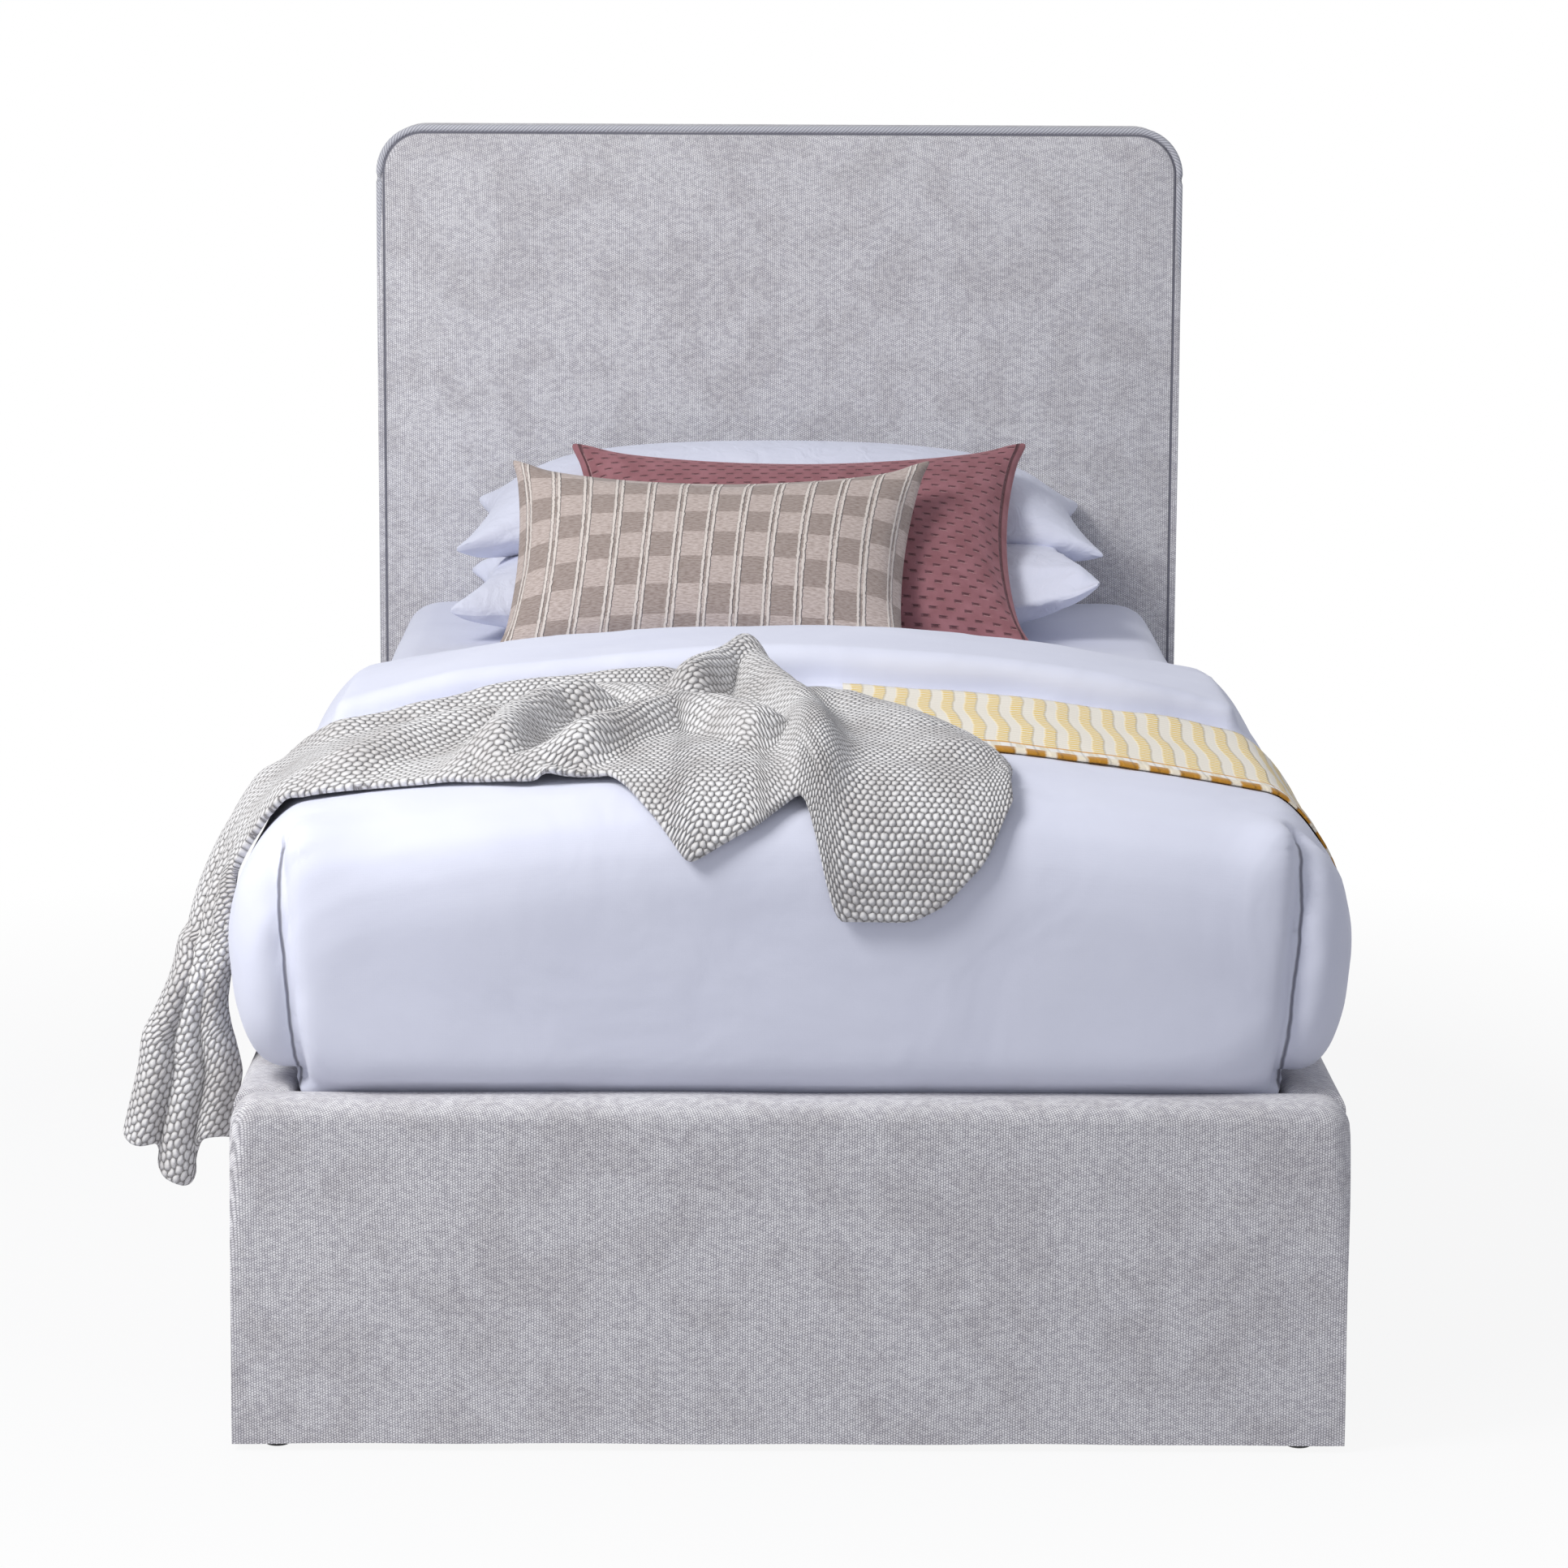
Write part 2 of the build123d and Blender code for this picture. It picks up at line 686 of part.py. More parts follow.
def build_drawer(number, centre_y):
    """One drawer with its upholstered front, its box and its four castors."""
    name = f"drawer_{number}"
    foam_reach = drawer_front_depth - cover_thick
    with BuildPart() as board:
        with BuildSketch(front_plane(0, centre_y)):
            RectangleRounded(
                front_width - cover_thick - cover_thick,
                drawer_front_height - cover_thick - cover_thick,
                drawer_front_corner - cover_thick,
            )
        extrude(amount=drawer_board_thick)
    save(board.part, f"{name}_front_board")

    padding = front_block(centre_y, 0, cover_thick, foam_reach, drawer_front_roll - cover_thick)
    with BuildPart() as foam:
        add(padding)
        add(board.part, mode=Mode.SUBTRACT)
    save(foam.part, f"{name}_front_foam")

    with BuildPart() as cover:
        add(front_block(centre_y, 0, 0, drawer_front_depth, drawer_front_roll))
        add(padding, mode=Mode.SUBTRACT)
    save(cover.part, f"{name}_front_cover")

    box_middle_x = (front_back_x + box_back_x) / 2
    with BuildPart() as bottom:
        with BuildSketch(Plane.XY.offset(box_low)):
            with Locations((box_middle_x, centre_y)):
                Rectangle(drawer_box_depth, box_half + box_half)
        extrude(amount=drawer_bottom_thick)
    save(bottom.part, f"{name}_bottom")

    with BuildPart() as sides:
        with BuildSketch(Plane.XY.offset(wall_low)):
            wall_y = box_half - drawer_wall / 2
            with Locations((box_middle_x, centre_y - wall_y), (box_middle_x, centre_y + wall_y)):
                Rectangle(drawer_box_depth, drawer_wall)
        extrude(amount=drawer_wall_height)
    save(sides.part, f"{name}_sides")

    with BuildPart() as back:
        with BuildSketch(Plane.XY.offset(wall_low)):
            with Locations((box_back_x + drawer_wall / 2, centre_y)):
                Rectangle(drawer_wall, box_half + box_half - drawer_wall - drawer_wall)
        extrude(amount=drawer_wall_height)
    save(back.part, f"{name}_back")

    castor_y = box_half - castor_side_inset
    places = [
        (castor_front_x, centre_y - castor_y),
        (castor_front_x, centre_y + castor_y),
        (castor_back_x, centre_y - castor_y),
        (castor_back_x, centre_y + castor_y),
    ]
    with BuildPart() as forks:
        with BuildSketch(Plane.XY.offset(box_low - fork_wall)):
            with Locations(*places):
                Rectangle(fork_plate_length, fork_plate_width)
        extrude(amount=fork_wall)
        for x, y in places:
            for turn in (-1, 1):
                cheek = Plane(
                    origin=(x, y + turn * fork_half, box_low - fork_wall),
                    x_dir=(1, 0, 0),
                    z_dir=(0, -turn, 0),
                )
                drop = box_low - fork_wall - wheel_radius + fork_cheek_drop
                with BuildSketch(cheek):
                    with Locations((0, -turn * drop / 2)):
                        Rectangle(fork_cheek_length, drop)
                    with Locations((0, -turn * (box_low - fork_wall - wheel_radius))):
                        Circle(axle_radius + axle_gap, mode=Mode.SUBTRACT)
                extrude(amount=fork_wall)
    save(forks.part, f"{name}_castor_forks")

    with BuildPart() as axles:
        for x, y in places:
            middle = Plane(origin=(x, y, wheel_radius), x_dir=(1, 0, 0), z_dir=(0, 1, 0))
            with BuildSketch(middle):
                Circle(axle_radius)
            extrude(amount=fork_half, both=True)
            for turn in (-1, 1):
                end = Plane(
                    origin=(x, y + turn * fork_half, wheel_radius),
                    x_dir=(1, 0, 0),
                    z_dir=(0, turn, 0),
                )
                with BuildSketch(end):
                    Circle(axle_head_radius)
                extrude(amount=axle_head)
    save(axles.part, f"{name}_axles")

    for i, (x, y) in enumerate(places):
        save(wheel_body(x, y), f"{name}_wheel_{i + 1}")


for i in range(drawer_count):
    bay_start = foot_inner_y + i * (bay_length + post_width)
    build_drawer(i + 1, bay_start + bay_length / 2)

# mattress and fitted sheet


def mattress_block(grow, low, top):
    """Block with rounded corners and a rolled top edge, grown all round for the sheet."""
    with BuildPart() as block:
        with BuildSketch(Plane.XY.offset(low)):
            with Locations((0, mattress_y)):
                RectangleRounded(
                    mattress_width + grow + grow,
                    mattress_length + grow + grow,
                    mattress_corner + grow,
                )
        extrude(amount=top - low)
        fillet(block.edges().group_by(Axis.Z)[-1], mattress_roll + grow)
    return block.part


with BuildPart() as mattress:
    add(mattress_block(0, slat_top, mattress_top))
    fillet(mattress.edges().group_by(Axis.Z)[0], mattress_roll)
save(mattress.part, "mattress")

sheet_bottom = slat_top + sheet_low
with BuildPart() as fitted_sheet:
    add(mattress_block(sheet_out, sheet_bottom, sheet_top))
    add(mattress_block(soft_gap, sheet_bottom, mattress_top + soft_gap), mode=Mode.SUBTRACT)
save(fitted_sheet.part, "fitted_sheet")

# duvet
skirt_half = inner_x - duvet_tuck_gap
bulge_half = mattress_width / 2 + sheet_out + duvet_bulge + soft_gap
shoulder_half = bulge_half - duvet_shoulder_in
duvet_low = frame_top + duvet_rail_gap
bulge_z = duvet_low + duvet_waist
crown_z = sheet_top + duvet_top
shoulder_z = crown_z - duvet_shoulder


def blend(share, start, end):
    """Point at a share of the way from one value to another."""
    return start + (end - start) * share


def duvet_arcs(out, shrink=0, drop=0, lift=0):
    """Right half of the duvet's outline from the tuck to the crown, grown outwards by out."""
    tuck = (skirt_half - shrink + out, duvet_low + lift - out)
    side = (bulge_half - shrink + out, bulge_z)
    shoulder = (shoulder_half - shrink + out, shoulder_z - drop + out)
    crown = (0, crown_z - drop + out)
    low_mid = (
        blend(duvet_side_shares[0], tuck[0], side[0]),
        blend(duvet_side_shares[1], tuck[1], side[1]),
    )
    high_mid = (
        blend(1 - duvet_upper_shares[0], side[0], shoulder[0]),
        blend(duvet_upper_shares[1], side[1], shoulder[1]),
    )
    return tuck, low_mid, side, high_mid, shoulder, crown


def mirrored(point):
    """The same point on the other half of the bed."""
    return (-point[0], point[1])


def duvet_section(y, shrink=0, drop=0, lift=0):
    """Closed cross-section of the puffed duvet at y."""
    tuck, low_mid, side, high_mid, shoulder, crown = duvet_arcs(0, shrink, drop, lift)
    with BuildSketch(Plane(origin=(0, y, 0), x_dir=(1, 0, 0), z_dir=(0, -1, 0))) as section:
        with BuildLine():
            Line(mirrored(tuck), tuck)
            ThreePointArc(tuck, low_mid, side)
            ThreePointArc(side, high_mid, shoulder)
            ThreePointArc(shoulder, crown, mirrored(shoulder))
            ThreePointArc(mirrored(shoulder), mirrored(high_mid), mirrored(side))
            ThreePointArc(mirrored(side), mirrored(low_mid), mirrored(tuck))
        make_face()
    return section.sketch


# rounding at the foot end: place along the bed, drawn in, dropped and lifted, as shares
duvet_tip_y = foot_inner_y - duvet_foot_over
duvet_round_y = 130
duvet_round_in = 88
duvet_round_drop = 92
duvet_round_lift = 22
foot_round_shares = [
    (0.0, 1.0, 1.0, 1.0),
    (0.05, 0.70, 0.66, 0.5),
    (0.16, 0.42, 0.38, 0.15),
    (0.42, 0.16, 0.14, 0.0),
    (1.0, 0.0, 0.0, 0.0),
]

duvet_sections = [
    duvet_section(
        duvet_tip_y + along * duvet_round_y,
        inward * duvet_round_in,
        down * duvet_round_drop,
        up * duvet_round_lift,
    )
    for along, inward, down, up in foot_round_shares
]
duvet_sections.append(duvet_section(duvet_head_y - duvet_flat))
duvet_sections.append(duvet_section(duvet_head_y, duvet_tuck, duvet_flat))

with BuildPart() as duvet_fold:
    for y, lift_share in (
        (fold_front_y, 0),
        (fold_front_y + fold_thick / 2, 1),
        (fold_back_y - fold_thick * 2, 1),
        (fold_back_y, 0),
    ):
        outer = duvet_arcs(fold_lift + lift_share * (fold_thick - fold_lift))
        with BuildSketch(Plane(origin=(0, y, 0), x_dir=(1, 0, 0), z_dir=(0, -1, 0))):
            with BuildLine():
                top_shoulder = (shoulder_half, outer[4][1] - fold_lift)
                low_shoulder = (shoulder_half, shoulder_z - fold_sink)
                Line(mirrored(low_shoulder), low_shoulder)
                Line(low_shoulder, top_shoulder)
                ThreePointArc(top_shoulder, outer[5], mirrored(top_shoulder))
                Line(mirrored(top_shoulder), mirrored(low_shoulder))
            make_face()
    loft(ruled=True)

with BuildPart() as duvet:
    loft(duvet_sections, ruled=True)
    add(duvet_fold.part)
    with BuildSketch(Plane.XY.offset(frame_top - duvet_tuck)):
        skirt_foot_y = foot_inner_y + duvet_tuck_gap
        with Locations((0, (skirt_foot_y + duvet_head_y) / 2)):
            Rectangle(skirt_half + skirt_half, duvet_head_y - skirt_foot_y)
    extrude(amount=duvet_tuck + duvet_rail_gap + duvet_skirt_rise)
    with BuildSketch(Plane.XY.offset(frame_top - duvet_tuck - overrun)):
        with Locations((0, (void_foot_y + duvet_head_y + overrun) / 2)):
            Rectangle(void_half + void_half, duvet_head_y + overrun - void_foot_y)
    extrude(amount=void_top - frame_top + duvet_tuck + overrun, mode=Mode.SUBTRACT)
save(duvet.part, "duvet")

# pillows and cushions


def soft_pad(width, length, crown, under, x, inset, rise, tilt):
    """Cushion with a crowned top and back, thin edges and sides drawn in between its corners."""
    lean = math.radians(tilt)
    along = (0, math.cos(lean), math.sin(lean))
    with BuildPart() as pad:
        for i in range(pillow_steps + 1):
            place = -1 + 2 * i / pillow_steps
            puff = math.sqrt(max(1 - place * place, 0))
            puff = pillow_end_share + (1 - pillow_end_share) * puff
            half = length / 2 * (1 - pillow_draw_share * (1 - place * place))
            edge = pillow_edge / 2
            base = Plane(
                origin=(x + place * width / 2, head_face_y - inset, sheet_top + rise),
                x_dir=along,
                z_dir=(1, 0, 0),
            )
            with BuildSketch(base):
                with BuildLine():
                    ThreePointArc((-half, edge), (0, edge + crown * puff), (half, edge))
                    Line((half, edge), (half, -edge))
                    ThreePointArc((half, -edge), (0, -edge - under * puff), (-half, -edge))
                    Line((-half, -edge), (-half, edge))
                make_face()
        loft(ruled=True)
    return pad.part


pillow_lower = soft_pad(
    pillow_width,
    pillow_lower_length,
    pillow_lower_crown,
    pillow_lower_under,
    0,
    pillow_lower_inset,
    pillow_lower_under + pillow_edge / 2 + soft_gap,
    0,
)
save(pillow_lower, "pillow_lower")

pillow_upper = soft_pad(
    pillow_width,
    pillow_upper_length,
    pillow_upper_crown,
    pillow_upper_under,
    0,
    pillow_upper_inset,
    pillow_upper_rise,
    pillow_upper_tilt,
)
save(pillow_upper, "pillow_upper")

cushion_rose = soft_pad(
    rose_width,
    rose_length,
    rose_crown,
    rose_under,
    rose_x,
    rose_inset,
    rose_rise,
    rose_tilt,
)
save(cushion_rose, "cushion_rose")

cushion_check = soft_pad(
    check_width,
    check_length,
    check_crown,
    check_under,
    check_x,
    check_inset,
    check_rise,
    check_tilt,
)
save(cushion_check, "cushion_check")

# throws


def grown(points, out):
    """Three points of an arc moved outwards from its centre."""
    (ax, ay), (bx, by), (cx, cy) = points
    area = 2 * (ax * (by - cy) + bx * (cy - ay) + cx * (ay - by))
    a2, b2, c2 = ax * ax + ay * ay, bx * bx + by * by, cx * cx + cy * cy
    ox = (a2 * (by - cy) + b2 * (cy - ay) + c2 * (ay - by)) / area
    oy = (a2 * (cx - bx) + b2 * (ax - cx) + c2 * (bx - ax)) / area
    scale = 1 + out / math.hypot(ax - ox, ay - oy)
    return [(ox + (x - ox) * scale, oy + (y - oy) * scale) for x, y in points]


duvet_side, duvet_high, duvet_shoulder_point, duvet_crown = duvet_arcs(0)[2:]
crown_arc = [mirrored(duvet_shoulder_point), duvet_crown, duvet_shoulder_point]
crown_rise = crown_z - shoulder_z
crown_radius = (shoulder_half * shoulder_half + crown_rise * crown_rise) / (crown_rise + crown_rise)


def crown_point(x, out):
    """Point over the duvet's crown at x, raised off it by out."""
    radius = crown_radius + out
    return (x, crown_z - crown_radius + math.sqrt(radius * radius - x * x))


def cloth_profile(side, end_x, out, thick):
    """Sketch lines of cloth from end_x over the crown and down one side to the fullest place."""
    flip = 1 if side > 0 else -1
    edge = [duvet_shoulder_point, duvet_high, duvet_side]
    inner = [(flip * x, z) for x, z in grown(edge, out)]
    outer = [(flip * x, z) for x, z in grown(edge, out + thick)]
    crown_in = flip * grown(crown_arc, out)[2][0]
    crown_out = flip * grown(crown_arc, out + thick)[2][0]
    low_start = crown_point(end_x, out)
    low_end = crown_point(crown_in, out)
    high_start = crown_point(end_x, out + thick)
    high_end = crown_point(crown_out, out + thick)
    ThreePointArc(low_start, crown_point((end_x + crown_in) / 2, out), low_end)
    Line(low_end, inner[0])
    ThreePointArc(inner[0], inner[1], inner[2])
    Line(inner[2], outer[2])
    ThreePointArc(outer[2], outer[1], outer[0])
    Line(outer[0], high_end)
    ThreePointArc(high_end, crown_point((end_x + crown_out) / 2, out + thick), high_start)
    Line(high_start, low_start)


def across(y):
    """Upright plane across the bed at y, its normal towards the foot."""
    return Plane(origin=(0, y, 0), x_dir=(1, 0, 0), z_dir=(0, -1, 0))


yellow_near_y = foot_inner_y + duvet_length * yellow_shares[0]
yellow_far_y = foot_inner_y + duvet_length * yellow_shares[1]

with BuildPart() as throw_yellow:
    with BuildSketch(across(yellow_far_y)):
        with BuildLine():
            cloth_profile(1, yellow_left_x, yellow_lift, yellow_thick)
        make_face()
    extrude(amount=yellow_far_y - yellow_near_y)
save(throw_yellow.part, "throw_yellow")

knit_near_y = duvet_tip_y + duvet_round_y + knit_near_gap
knit_far_y = foot_inner_y + duvet_length * knit_far_share
knit_reach = knit_far_y - knit_near_y
knit_over = yellow_lift + yellow_thick + soft_gap
fold_pitch = knit_reach / knit_fold_count
fold_in = -bulge_half - knit_hang_gap
fold_out = fold_in - fold_pitch * knit_fold_share


def tail(left, width, low):
    """End of the knitted throw that lies over the rounded foot end of the duvet."""
    near = []
    far = []
    for along, _, down, _ in foot_round_shares:
        y = duvet_tip_y + along * duvet_round_y
        z = crown_z - down * duvet_round_drop
        near.append((y - knit_lift, z + knit_lift))
        far.append((y - knit_lift - knit_thick, z + knit_lift + knit_thick))
    near.append((knit_near_y + knit_tail_lap, crown_z + knit_lift))
    far.append((knit_near_y + knit_tail_lap, crown_z + knit_lift + knit_thick))
    outline = [(near[0][0], low)] + near + far[::-1] + [(far[0][0], low)]
    with BuildPart() as end:
        with BuildSketch(Plane(origin=(left, 0, 0), x_dir=(0, 1, 0), z_dir=(1, 0, 0))):
            with BuildLine():
                Polyline(*outline, close=True)
            make_face()
        extrude(amount=width)
    return end.part


with BuildPart() as throw_knit:
    with BuildSketch(across(knit_far_y)):
        with BuildLine():
            cloth_profile(-1, knit_step_x, knit_lift, knit_thick)
        make_face()
    extrude(amount=knit_reach)
    # the part that climbs over the woven throw
    step_left = knit_step_x - knit_step_lap
    step_middle = (step_left + knit_right_x) / 2
    step_high = knit_over + knit_thick
    with BuildSketch(across(knit_far_y)):
        with BuildLine():
            ThreePointArc(
                crown_point(step_left, knit_over),
                crown_point(step_middle, knit_over),
                crown_point(knit_right_x, knit_over),
            )
            Line(crown_point(knit_right_x, knit_over), crown_point(knit_right_x, step_high))
            ThreePointArc(
                crown_point(knit_right_x, step_high),
                crown_point(step_middle, step_high),
                crown_point(step_left, step_high),
            )
            Line(crown_point(step_left, step_high), crown_point(step_left, knit_over))
        make_face()
    extrude(amount=knit_reach)
    # the hanging part with its upright folds
    with BuildSketch(Plane.XY.offset(knit_low)):
        with BuildLine():
            for i in range(knit_fold_count):
                start = knit_near_y + i * fold_pitch
                ThreePointArc(
                    (fold_out, start),
                    (fold_in, start + fold_pitch / 2),
                    (fold_out, start + fold_pitch),
                )
            Line((fold_out, knit_far_y), (fold_out - knit_thick, knit_far_y))
            for i in range(knit_fold_count):
                start = knit_far_y - i * fold_pitch
                ThreePointArc(
                    (fold_out - knit_thick, start),
                    (fold_in - knit_thick, start - fold_pitch / 2),
                    (fold_out - knit_thick, start - fold_pitch),
                )
            Line((fold_out - knit_thick, knit_near_y), (fold_out, knit_near_y))
        make_face()
    extrude(amount=knit_hang_top - knit_low)
    add(tail(tail_left_x, tail_left_width, tail_left_low))
    add(tail(tail_right_x, tail_right_width, tail_right_low))
save(throw_knit.part, "throw_knit")
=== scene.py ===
# %% [markdown]
# # Dressing an upholstered drawer bed
# The bed is a padded headboard, footboard and pair of side rails in grey chenille, with two drawers on
# castors in its right side and its bedding on top. The solid model already gives every piece its place,
# in metres: x runs towards the drawers, y towards the headboard and z up, from a point on the floor
# under the middle of the bed. Loading it first lets each new piece be built straight where it belongs.

# %% Load the solid model
import math

import bmesh
import bpy
import numpy as np
from mathutils import Matrix, Vector, noise
from mathutils.bvhtree import BVHTree


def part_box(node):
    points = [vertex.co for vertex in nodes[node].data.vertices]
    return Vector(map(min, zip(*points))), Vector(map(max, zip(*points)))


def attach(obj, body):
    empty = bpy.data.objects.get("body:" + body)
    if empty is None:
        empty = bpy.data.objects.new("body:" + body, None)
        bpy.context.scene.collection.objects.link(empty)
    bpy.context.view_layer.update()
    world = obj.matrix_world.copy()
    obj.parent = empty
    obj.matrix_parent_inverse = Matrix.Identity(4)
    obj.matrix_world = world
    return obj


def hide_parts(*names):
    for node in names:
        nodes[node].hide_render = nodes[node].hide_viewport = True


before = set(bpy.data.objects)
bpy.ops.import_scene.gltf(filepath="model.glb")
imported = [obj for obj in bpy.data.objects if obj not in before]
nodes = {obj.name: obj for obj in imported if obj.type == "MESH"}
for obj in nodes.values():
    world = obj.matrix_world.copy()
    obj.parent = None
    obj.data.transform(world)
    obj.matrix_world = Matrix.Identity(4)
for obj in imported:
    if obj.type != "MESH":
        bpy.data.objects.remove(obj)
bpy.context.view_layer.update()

scene = bpy.context.scene
print("solid model:", len(nodes), "nodes")

# %% [markdown]
# ## The camera
# The picture was taken from in front of the foot end, a little above the mattress, with a long lens, so
# the upright edges stay nearly parallel. A camera needs a place, three angles and a focal length, and
# these come from lining up the bed's own corners with the picture.

# %% Camera
eye = Vector((-0.0465, -5.5656, 1.4224))
pitch, yaw, roll = (math.radians(angle) for angle in (9.848, -0.4908, 0.2822))

lens = bpy.data.cameras.new("camera")
lens.lens = 115.73
lens.clip_end = 60
camera = bpy.data.objects.new("camera", lens)
scene.collection.objects.link(camera)
look = Matrix.Rotation(yaw, 4, "Z") @ Matrix.Rotation(math.pi / 2 - pitch, 4, "X")
camera.matrix_world = Matrix.Translation(eye) @ look @ Matrix.Rotation(roll, 4, "Z")
scene.camera = camera
print("camera", round(eye.length, 2), "m from the origin")

# %% [markdown]
# ## Nodes and colours
# A material is a small graph of nodes. One function adds a node together with its settings and its
# links, so that a graph reads like a sentence. Colours are written as the hex codes that a screen shows
# and turned into the linear light that the renderer works in.

# %% Helpers for materials
def colour(code):
    """Linear colour of an sRGB hex code."""
    parts = [int(code[at:at + 2], 16) / 255 for at in (1, 3, 5)]
    return [c / 12.92 if c <= 0.04045 else ((c + 0.055) / 1.055) ** 2.4 for c in parts] + [1.0]


def add(tree, kind, inputs=None, **settings):
    """Add a node: settings are its own choices, inputs the value or the output for each socket."""
    made = tree.nodes.new("ShaderNode" + kind)
    for name, value in settings.items():
        setattr(made, name, value)
    for socket, value in (inputs or {}).items():
        if isinstance(value, bpy.types.NodeSocket):
            tree.links.new(value, made.inputs[socket])
        else:
            made.inputs[socket].default_value = value
    return made.outputs


def start_finish(name, roughness, **sockets):
    """A new material with its node tree and its surface shader."""
    material = bpy.data.materials.new(name)
    material.use_nodes = True
    shader = material.node_tree.nodes["Principled BSDF"]
    shader.inputs["Roughness"].default_value = roughness
    for socket, value in sockets.items():
        shader.inputs[socket.replace("_", " ")].default_value = value
    return material, material.node_tree, shader


def paint(tree, shader, base, height=None, depth=0.001, strength=1.0):
    """Link a colour and, where there is one, a height in shares of depth to the shader."""
    tree.links.new(base, shader.inputs["Base Color"])
    if height is not None:
        bump = add(tree, "Bump", {"Height": height, "Distance": depth, "Strength": strength})
        tree.links.new(bump["Normal"], shader.inputs["Normal"])


def shades(tree, factor, low, high, start=0.0, end=1.0):
    """Colour between two hex codes as factor goes from start to end."""
    share = add(tree, "MapRange", {"Value": factor, "From Min": start, "From Max": end})["Result"]
    return add(tree, "MixRGB", {"Fac": share, "Color1": colour(low), "Color2": colour(high)})["Color"]


def worn(tree, base, factor, low, start, end):
    """A colour darkened by a hex code where factor is under start, and not at all past end."""
    tone = shades(tree, factor, low, "#FFFFFF", start, end)
    return add(tree, "MixRGB", {"Fac": 1.0, "Color1": base, "Color2": tone}, blend_type="MULTIPLY")["Color"]


def line_at(tree, value, middle, half, end, strength=1.0, **settings):
    """A line where a value is near middle: strength within half of it, and down to 0 at end."""
    gap = add(tree, "Math", {0: value, 1: middle}, operation="SUBTRACT")[0]
    gap = add(tree, "Math", {0: gap}, operation="ABSOLUTE")[0]
    ends = {"Value": gap, "From Min": half, "From Max": end, "To Min": strength, "To Max": 0.0}
    return add(tree, "MapRange", ends, **settings)["Result"]


def sewn(tree, base, height, line, code, sink):
    """A colour and a height with a line of painted shade drawn in a hex code and sunk."""
    base = add(tree, "MixRGB", {"Fac": line, "Color1": base, "Color2": colour(code)})["Color"]
    return base, add(tree, "Math", {0: line, 1: -sink, 2: height}, operation="MULTIPLY_ADD")[0]


def cell_offsets(tree, across, along, pitch, row):
    """How far a point is from the middle of its cell, in shares of it, in rows half a step on each."""
    rows = add(tree, "Math", {0: along, 1: row}, operation="DIVIDE")[0]
    number = add(tree, "Math", {0: rows}, operation="FLOOR")[0]
    odd = add(tree, "Math", {0: number, 1: 2.0}, operation="FLOORED_MODULO")[0]
    steps = add(tree, "Math", {0: across, 1: pitch}, operation="DIVIDE")[0]
    steps = add(tree, "Math", {0: odd, 1: 0.5, 2: steps}, operation="MULTIPLY_ADD")[0]
    offsets = []
    for count in (steps, rows):
        part = add(tree, "Math", {0: count}, operation="FRACT")[0]
        offsets.append(add(tree, "Math", {0: part, 1: 0.5}, operation="SUBTRACT")[0])
    return offsets


def wobbled(tree, spot, scale, reach):
    """The same place moved by noise, up to about reach, so that rows of stitches aren't ruled."""
    shift = add(tree, "TexNoise", {"Vector": spot, "Scale": scale, "Detail": 1.0})["Color"]
    shift = add(tree, "VectorMath", {0: shift, 1: (0.5, 0.5, 0.5)}, operation="SUBTRACT")["Vector"]
    moved = {0: shift, 1: (2 * reach,) * 3, 2: spot}
    return add(tree, "SeparateXYZ", {0: add(tree, "VectorMath", moved, operation="MULTIPLY_ADD")["Vector"]})


def roundness(tree, offsets, reach):
    """0 in the middle of a cell, and 1 at reach shares from it and beyond."""
    square = add(tree, "Math", {0: offsets[0], 1: offsets[0]}, operation="MULTIPLY")[0]
    square = add(tree, "Math", {0: offsets[1], 1: offsets[1], 2: square}, operation="MULTIPLY_ADD")[0]
    return add(tree, "MapRange", {"Value": square, "From Max": reach * reach})["Result"]


print("material helpers ready")

# %% [markdown]
# ## Floor, backdrop and light
# The bed stands on a plain pale floor in an even white room. A large soft lamp high on the left gives
# the gentle shade that the right side of the duvet has. The world is white where the camera, a
# reflection or glass looks at it, and dimmer where it only lights the bed, so colours stay as written.

# %% Room
def seen_directly(tree):
    """1 for rays from the camera, a mirror or glass, and 0 for light on the bed."""
    path = add(tree, "LightPath")
    either = add(tree, "Math", {0: path["Is Camera Ray"], 1: path["Is Glossy Ray"]}, operation="MAXIMUM")
    return add(tree, "Math", {0: either[0], 1: path["Is Transmission Ray"]}, operation="MAXIMUM")[0]


world = bpy.data.worlds.new("room")
world.use_nodes = True
room = world.node_tree
room.nodes.clear()
dim = add(room, "Background", {"Color": colour("#F4F6FF"), "Strength": 0.46})
white = add(room, "Background", {"Color": colour("#FFFFFF"), "Strength": 1.0})
mixed = add(room, "MixShader", {0: seen_directly(room), 1: dim[0], 2: white[0]})
add(room, "OutputWorld", {"Surface": mixed[0]})
scene.world = world

bm = bmesh.new()
bmesh.ops.create_circle(bm, cap_ends=True, segments=64, radius=9)
floor_mesh = bpy.data.meshes.new("floor")
bm.to_mesh(floor_mesh)
bm.free()
floor = bpy.data.objects.new("floor", floor_mesh)
scene.collection.objects.link(floor)

